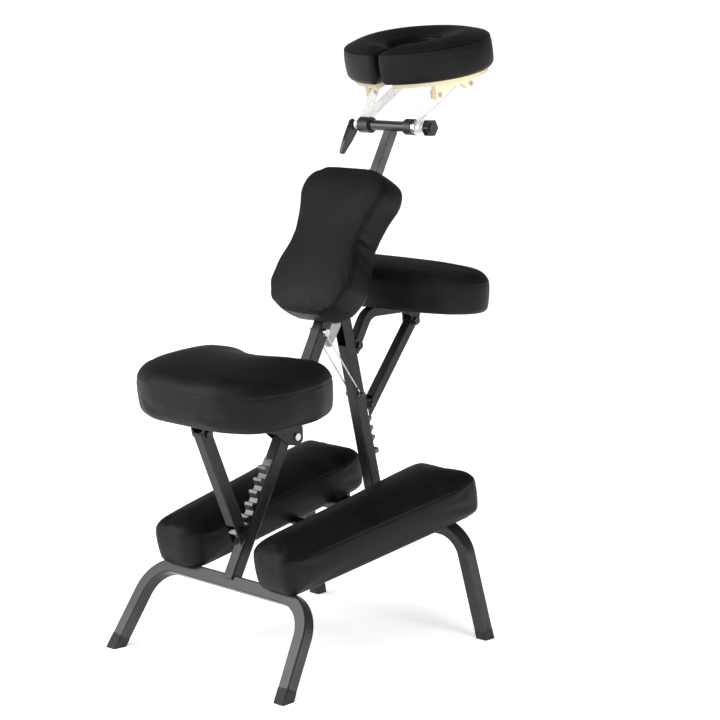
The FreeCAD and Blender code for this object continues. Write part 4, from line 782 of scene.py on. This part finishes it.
leathers = {k: leather("black_leather_" + k, seed=1.3 * i) for i, k in enumerate(pads)}
GROOVE = dict(seat=0.0011, arm=0.0007, chest=0.0018, knee_left=0.0007, knee_right=0.0007, face=0.0008)
FILL = dict(seat=0.85, arm=0.85, chest=0.8, knee_left=0.85, knee_right=0.85, face=0.75)
for i, (key, p) in enumerate(pads.items()):
    p.ripple(0.0004, 8.0, seed=3.1 * i)
    for j, k in enumerate(p.seams):
        p.pucker(k, 0.012, 0.00035, 60.0, seed=5.0 * i + j)
    if key == "chest":
        # cross seam and two slack folds on each side band at the waist
        near = p.loop[np.abs(p.loop[:, 0]) < 0.08]
        for w in (-1, 1):
            row = near[near[:, 1] * w > 0]
            uw, vw = row[np.argmin(np.abs(row[:, 1]))][:2]
            vw += 0.003 * w
            p.crease((uw + 0.004, vw, p.T - 0.004), (uw - 0.002, vw, 0.0), 0.0046, 0.0062, 0.45)
            p.crease((uw - 0.016, vw, p.T - 0.010), (uw - 0.040, vw + 0.006 * w, 0.010), 0.0050, 0.0032, 0.7)
            p.crease((uw - 0.034, vw + 0.004 * w, p.T - 0.010), (uw - 0.060, vw + 0.012 * w, 0.018), 0.0050, 0.0022, 0.7)
    for j, k in enumerate(p.seams):
        p.groove(k, GROOVE[key], 0.0003, seed=2.0 * i + j)
    p.finish(leathers[key], creases=p.seams, fill=FILL[key])

# ------------------------------------------------------------------ spread-limit cables
def wire_rope(node, radius=0.0015, strands=6, lay=0.021, pitch=0.0009, around=36):
    """stranded steel rope along the CAD cable, from ferrule to ferrule"""
    co = np.array([v.co[:] for v in NODES[node].data.vertices], float)
    mid = co[:, 2].mean()
    top, low = co[co[:, 2] > mid].mean(0), co[co[:, 2] <= mid].mean(0)
    d = low - top
    L = np.linalg.norm(d)
    d /= L
    e1 = np.array([1.0, 0.0, 0.0])
    e2 = np.cross(d, e1)
    n = int(L / pitch)
    ang = np.linspace(0, 2 * math.pi, around, endpoint=False)
    verts, faces = [], []
    for i in range(n + 1):
        s = L * i / n
        lobe = np.abs(np.cos(0.5 * strands * (ang - 2 * math.pi * s / lay)))
        r = radius * (0.80 + 0.20 * lobe ** 0.55)
        c = top + d * s
        verts += list(c + np.outer(r * np.cos(ang), e1) + np.outer(r * np.sin(ang), e2))
    for i in range(n):
        for j in range(around):
            k = (j + 1) % around
            faces.append((i * around + j, i * around + k, (i + 1) * around + k, (i + 1) * around + j))
    faces.append(tuple(range(around))[::-1])
    faces.append(tuple(n * around + j for j in range(around)))
    ob = new_object(node + "_rope", verts, faces, MAT["wire"])
    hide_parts(node)
    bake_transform(ob)
    return ob


for cable in ("spread_cable_left", "spread_cable_right"):
    wire_rope(cable)

# ------------------------------------------------------------------ floor, light, camera
cam = bpy.data.cameras.new("camera")
cam.sensor_width = 36.0
cam.lens = 103.84
cam.clip_start, cam.clip_end = 0.05, 400.0
cam_ob = bpy.data.objects.new("camera", cam)
scene.collection.objects.link(cam_ob)
cam_ob.location = (2.7677, -2.71396, 1.18192)
cam_ob.rotation_euler = (math.radians(90 - 9.428), 0.0, math.radians(44.665))
scene.camera = cam_ob

fm = Nodes("studio_floor")
spots = fm.noise(3.0, 3.0, 0.5)
fm.set(Base_Color=fm.ramp(spots, [(0.3, (0.90, 0.90, 0.90)), (0.7, (0.93, 0.93, 0.93))]))
fm.set(Roughness=fm.math("ADD", fm.math("MULTIPLY", spots, 0.1), 0.8))
fm.bsdf.inputs["Specular IOR Level"].default_value = 0.0
fm.bsdf.inputs["Emission Color"].default_value = (1.0, 1.0, 1.0, 1.0)
fm.bsdf.inputs["Emission Strength"].default_value = 0.50
R = 60.0
floor = new_object("studio_floor", [(-R, -R, 0), (R, -R, 0), (R, R, 0), (-R, R, 0)], [(0, 1, 2, 3)], fm.mat, smooth=False)

world = bpy.data.worlds.new("studio")
scene.world = world
world.use_nodes = True
wn = world.node_tree
wn.nodes.clear()
wo = wn.nodes.new("ShaderNodeOutputWorld")
# bright walls, dim ceiling for the light; the camera itself sees plain white
way = wn.nodes.new("ShaderNodeTexCoord")
split = wn.nodes.new("ShaderNodeSeparateXYZ")
wn.links.new(way.outputs["Generated"], split.inputs[0])
wall = wn.nodes.new("ShaderNodeValToRGB")
els = wall.color_ramp.elements
els[0].position, els[0].color = 0.08, (0.40, 0.40, 0.404, 1.0)
els[1].position, els[1].color = 0.75, (0.10, 0.10, 0.10, 1.0)
wn.links.new(split.outputs[2], wall.inputs[0])
bg = wn.nodes.new("ShaderNodeBackground")
wn.links.new(wall.outputs[0], bg.inputs[0])
turn = wn.nodes.new("ShaderNodeVectorMath")
turn.operation = "DOT_PRODUCT"
turn.inputs[1].default_value = (0.7071, 0.7071, 0.0)
wn.links.new(way.outputs["Generated"], turn.inputs[0])
dim = wn.nodes.new("ShaderNodeMapRange")
dim.inputs["From Min"].default_value, dim.inputs["From Max"].default_value = 0.0, 0.9
dim.inputs["To Min"].default_value, dim.inputs["To Max"].default_value = 1.0, 0.35
wn.links.new(turn.outputs["Value"], dim.inputs["Value"])
wn.links.new(dim.outputs[0], bg.inputs[1])
white = wn.nodes.new("ShaderNodeBackground")
white.inputs[0].default_value = (1.0, 1.0, 1.0, 1.0)
white.inputs[1].default_value = 1.05
seen = wn.nodes.new("ShaderNodeLightPath")
pick = wn.nodes.new("ShaderNodeMixShader")
wn.links.new(seen.outputs["Is Camera Ray"], pick.inputs[0])
wn.links.new(bg.outputs[0], pick.inputs[1])
wn.links.new(white.outputs[0], pick.inputs[2])
wn.links.new(pick.outputs[0], wo.inputs[0])


def sun(name, strength, angle, elev, azim):
    l = bpy.data.lights.new(name, "SUN")
    l.energy = strength
    l.angle = math.radians(angle)
    o = bpy.data.objects.new(name, l)
    scene.collection.objects.link(o)
    e, a = math.radians(elev), math.radians(azim)
    back = Vector((math.sin(a) * math.cos(e), -math.cos(a) * math.cos(e), math.sin(e)))
    o.rotation_euler = back.to_track_quat("Z", "Y").to_euler()
    return o


def area(name, loc, target, size, power, color=(1, 1, 1)):
    l = bpy.data.lights.new(name, "AREA")
    l.shape = "RECTANGLE"
    l.size, l.size_y = size
    l.energy = power
    l.color = color
    o = bpy.data.objects.new(name, l)
    scene.collection.objects.link(o)
    o.location = loc
    o.rotation_euler = (Vector(loc) - Vector(target)).to_track_quat("Z", "Y").to_euler()
    return o


sky = sun("fill_sky", 2.5, 70.0, 62.0, -20.0)
sky.visible_glossy = False
area("key_left", (-1.6, -3.4, 2.2), (0, 0, 0.6), (1.5, 2.4), 38.0)
shine = area("key_shine", (-2.6, -2.6, 1.7), (0, 0, 0.6), (1.2, 2.6), 45.0)
shine.visible_diffuse = False
rim = area("rim_right", (3.4, -0.5, 1.5), (0, 0, 0.7), (1.4, 2.4), 95.0)
rim.visible_glossy = False

scene.view_settings.view_transform = "Standard"
scene.view_settings.look = "None"
scene.view_settings.exposure = 0.0
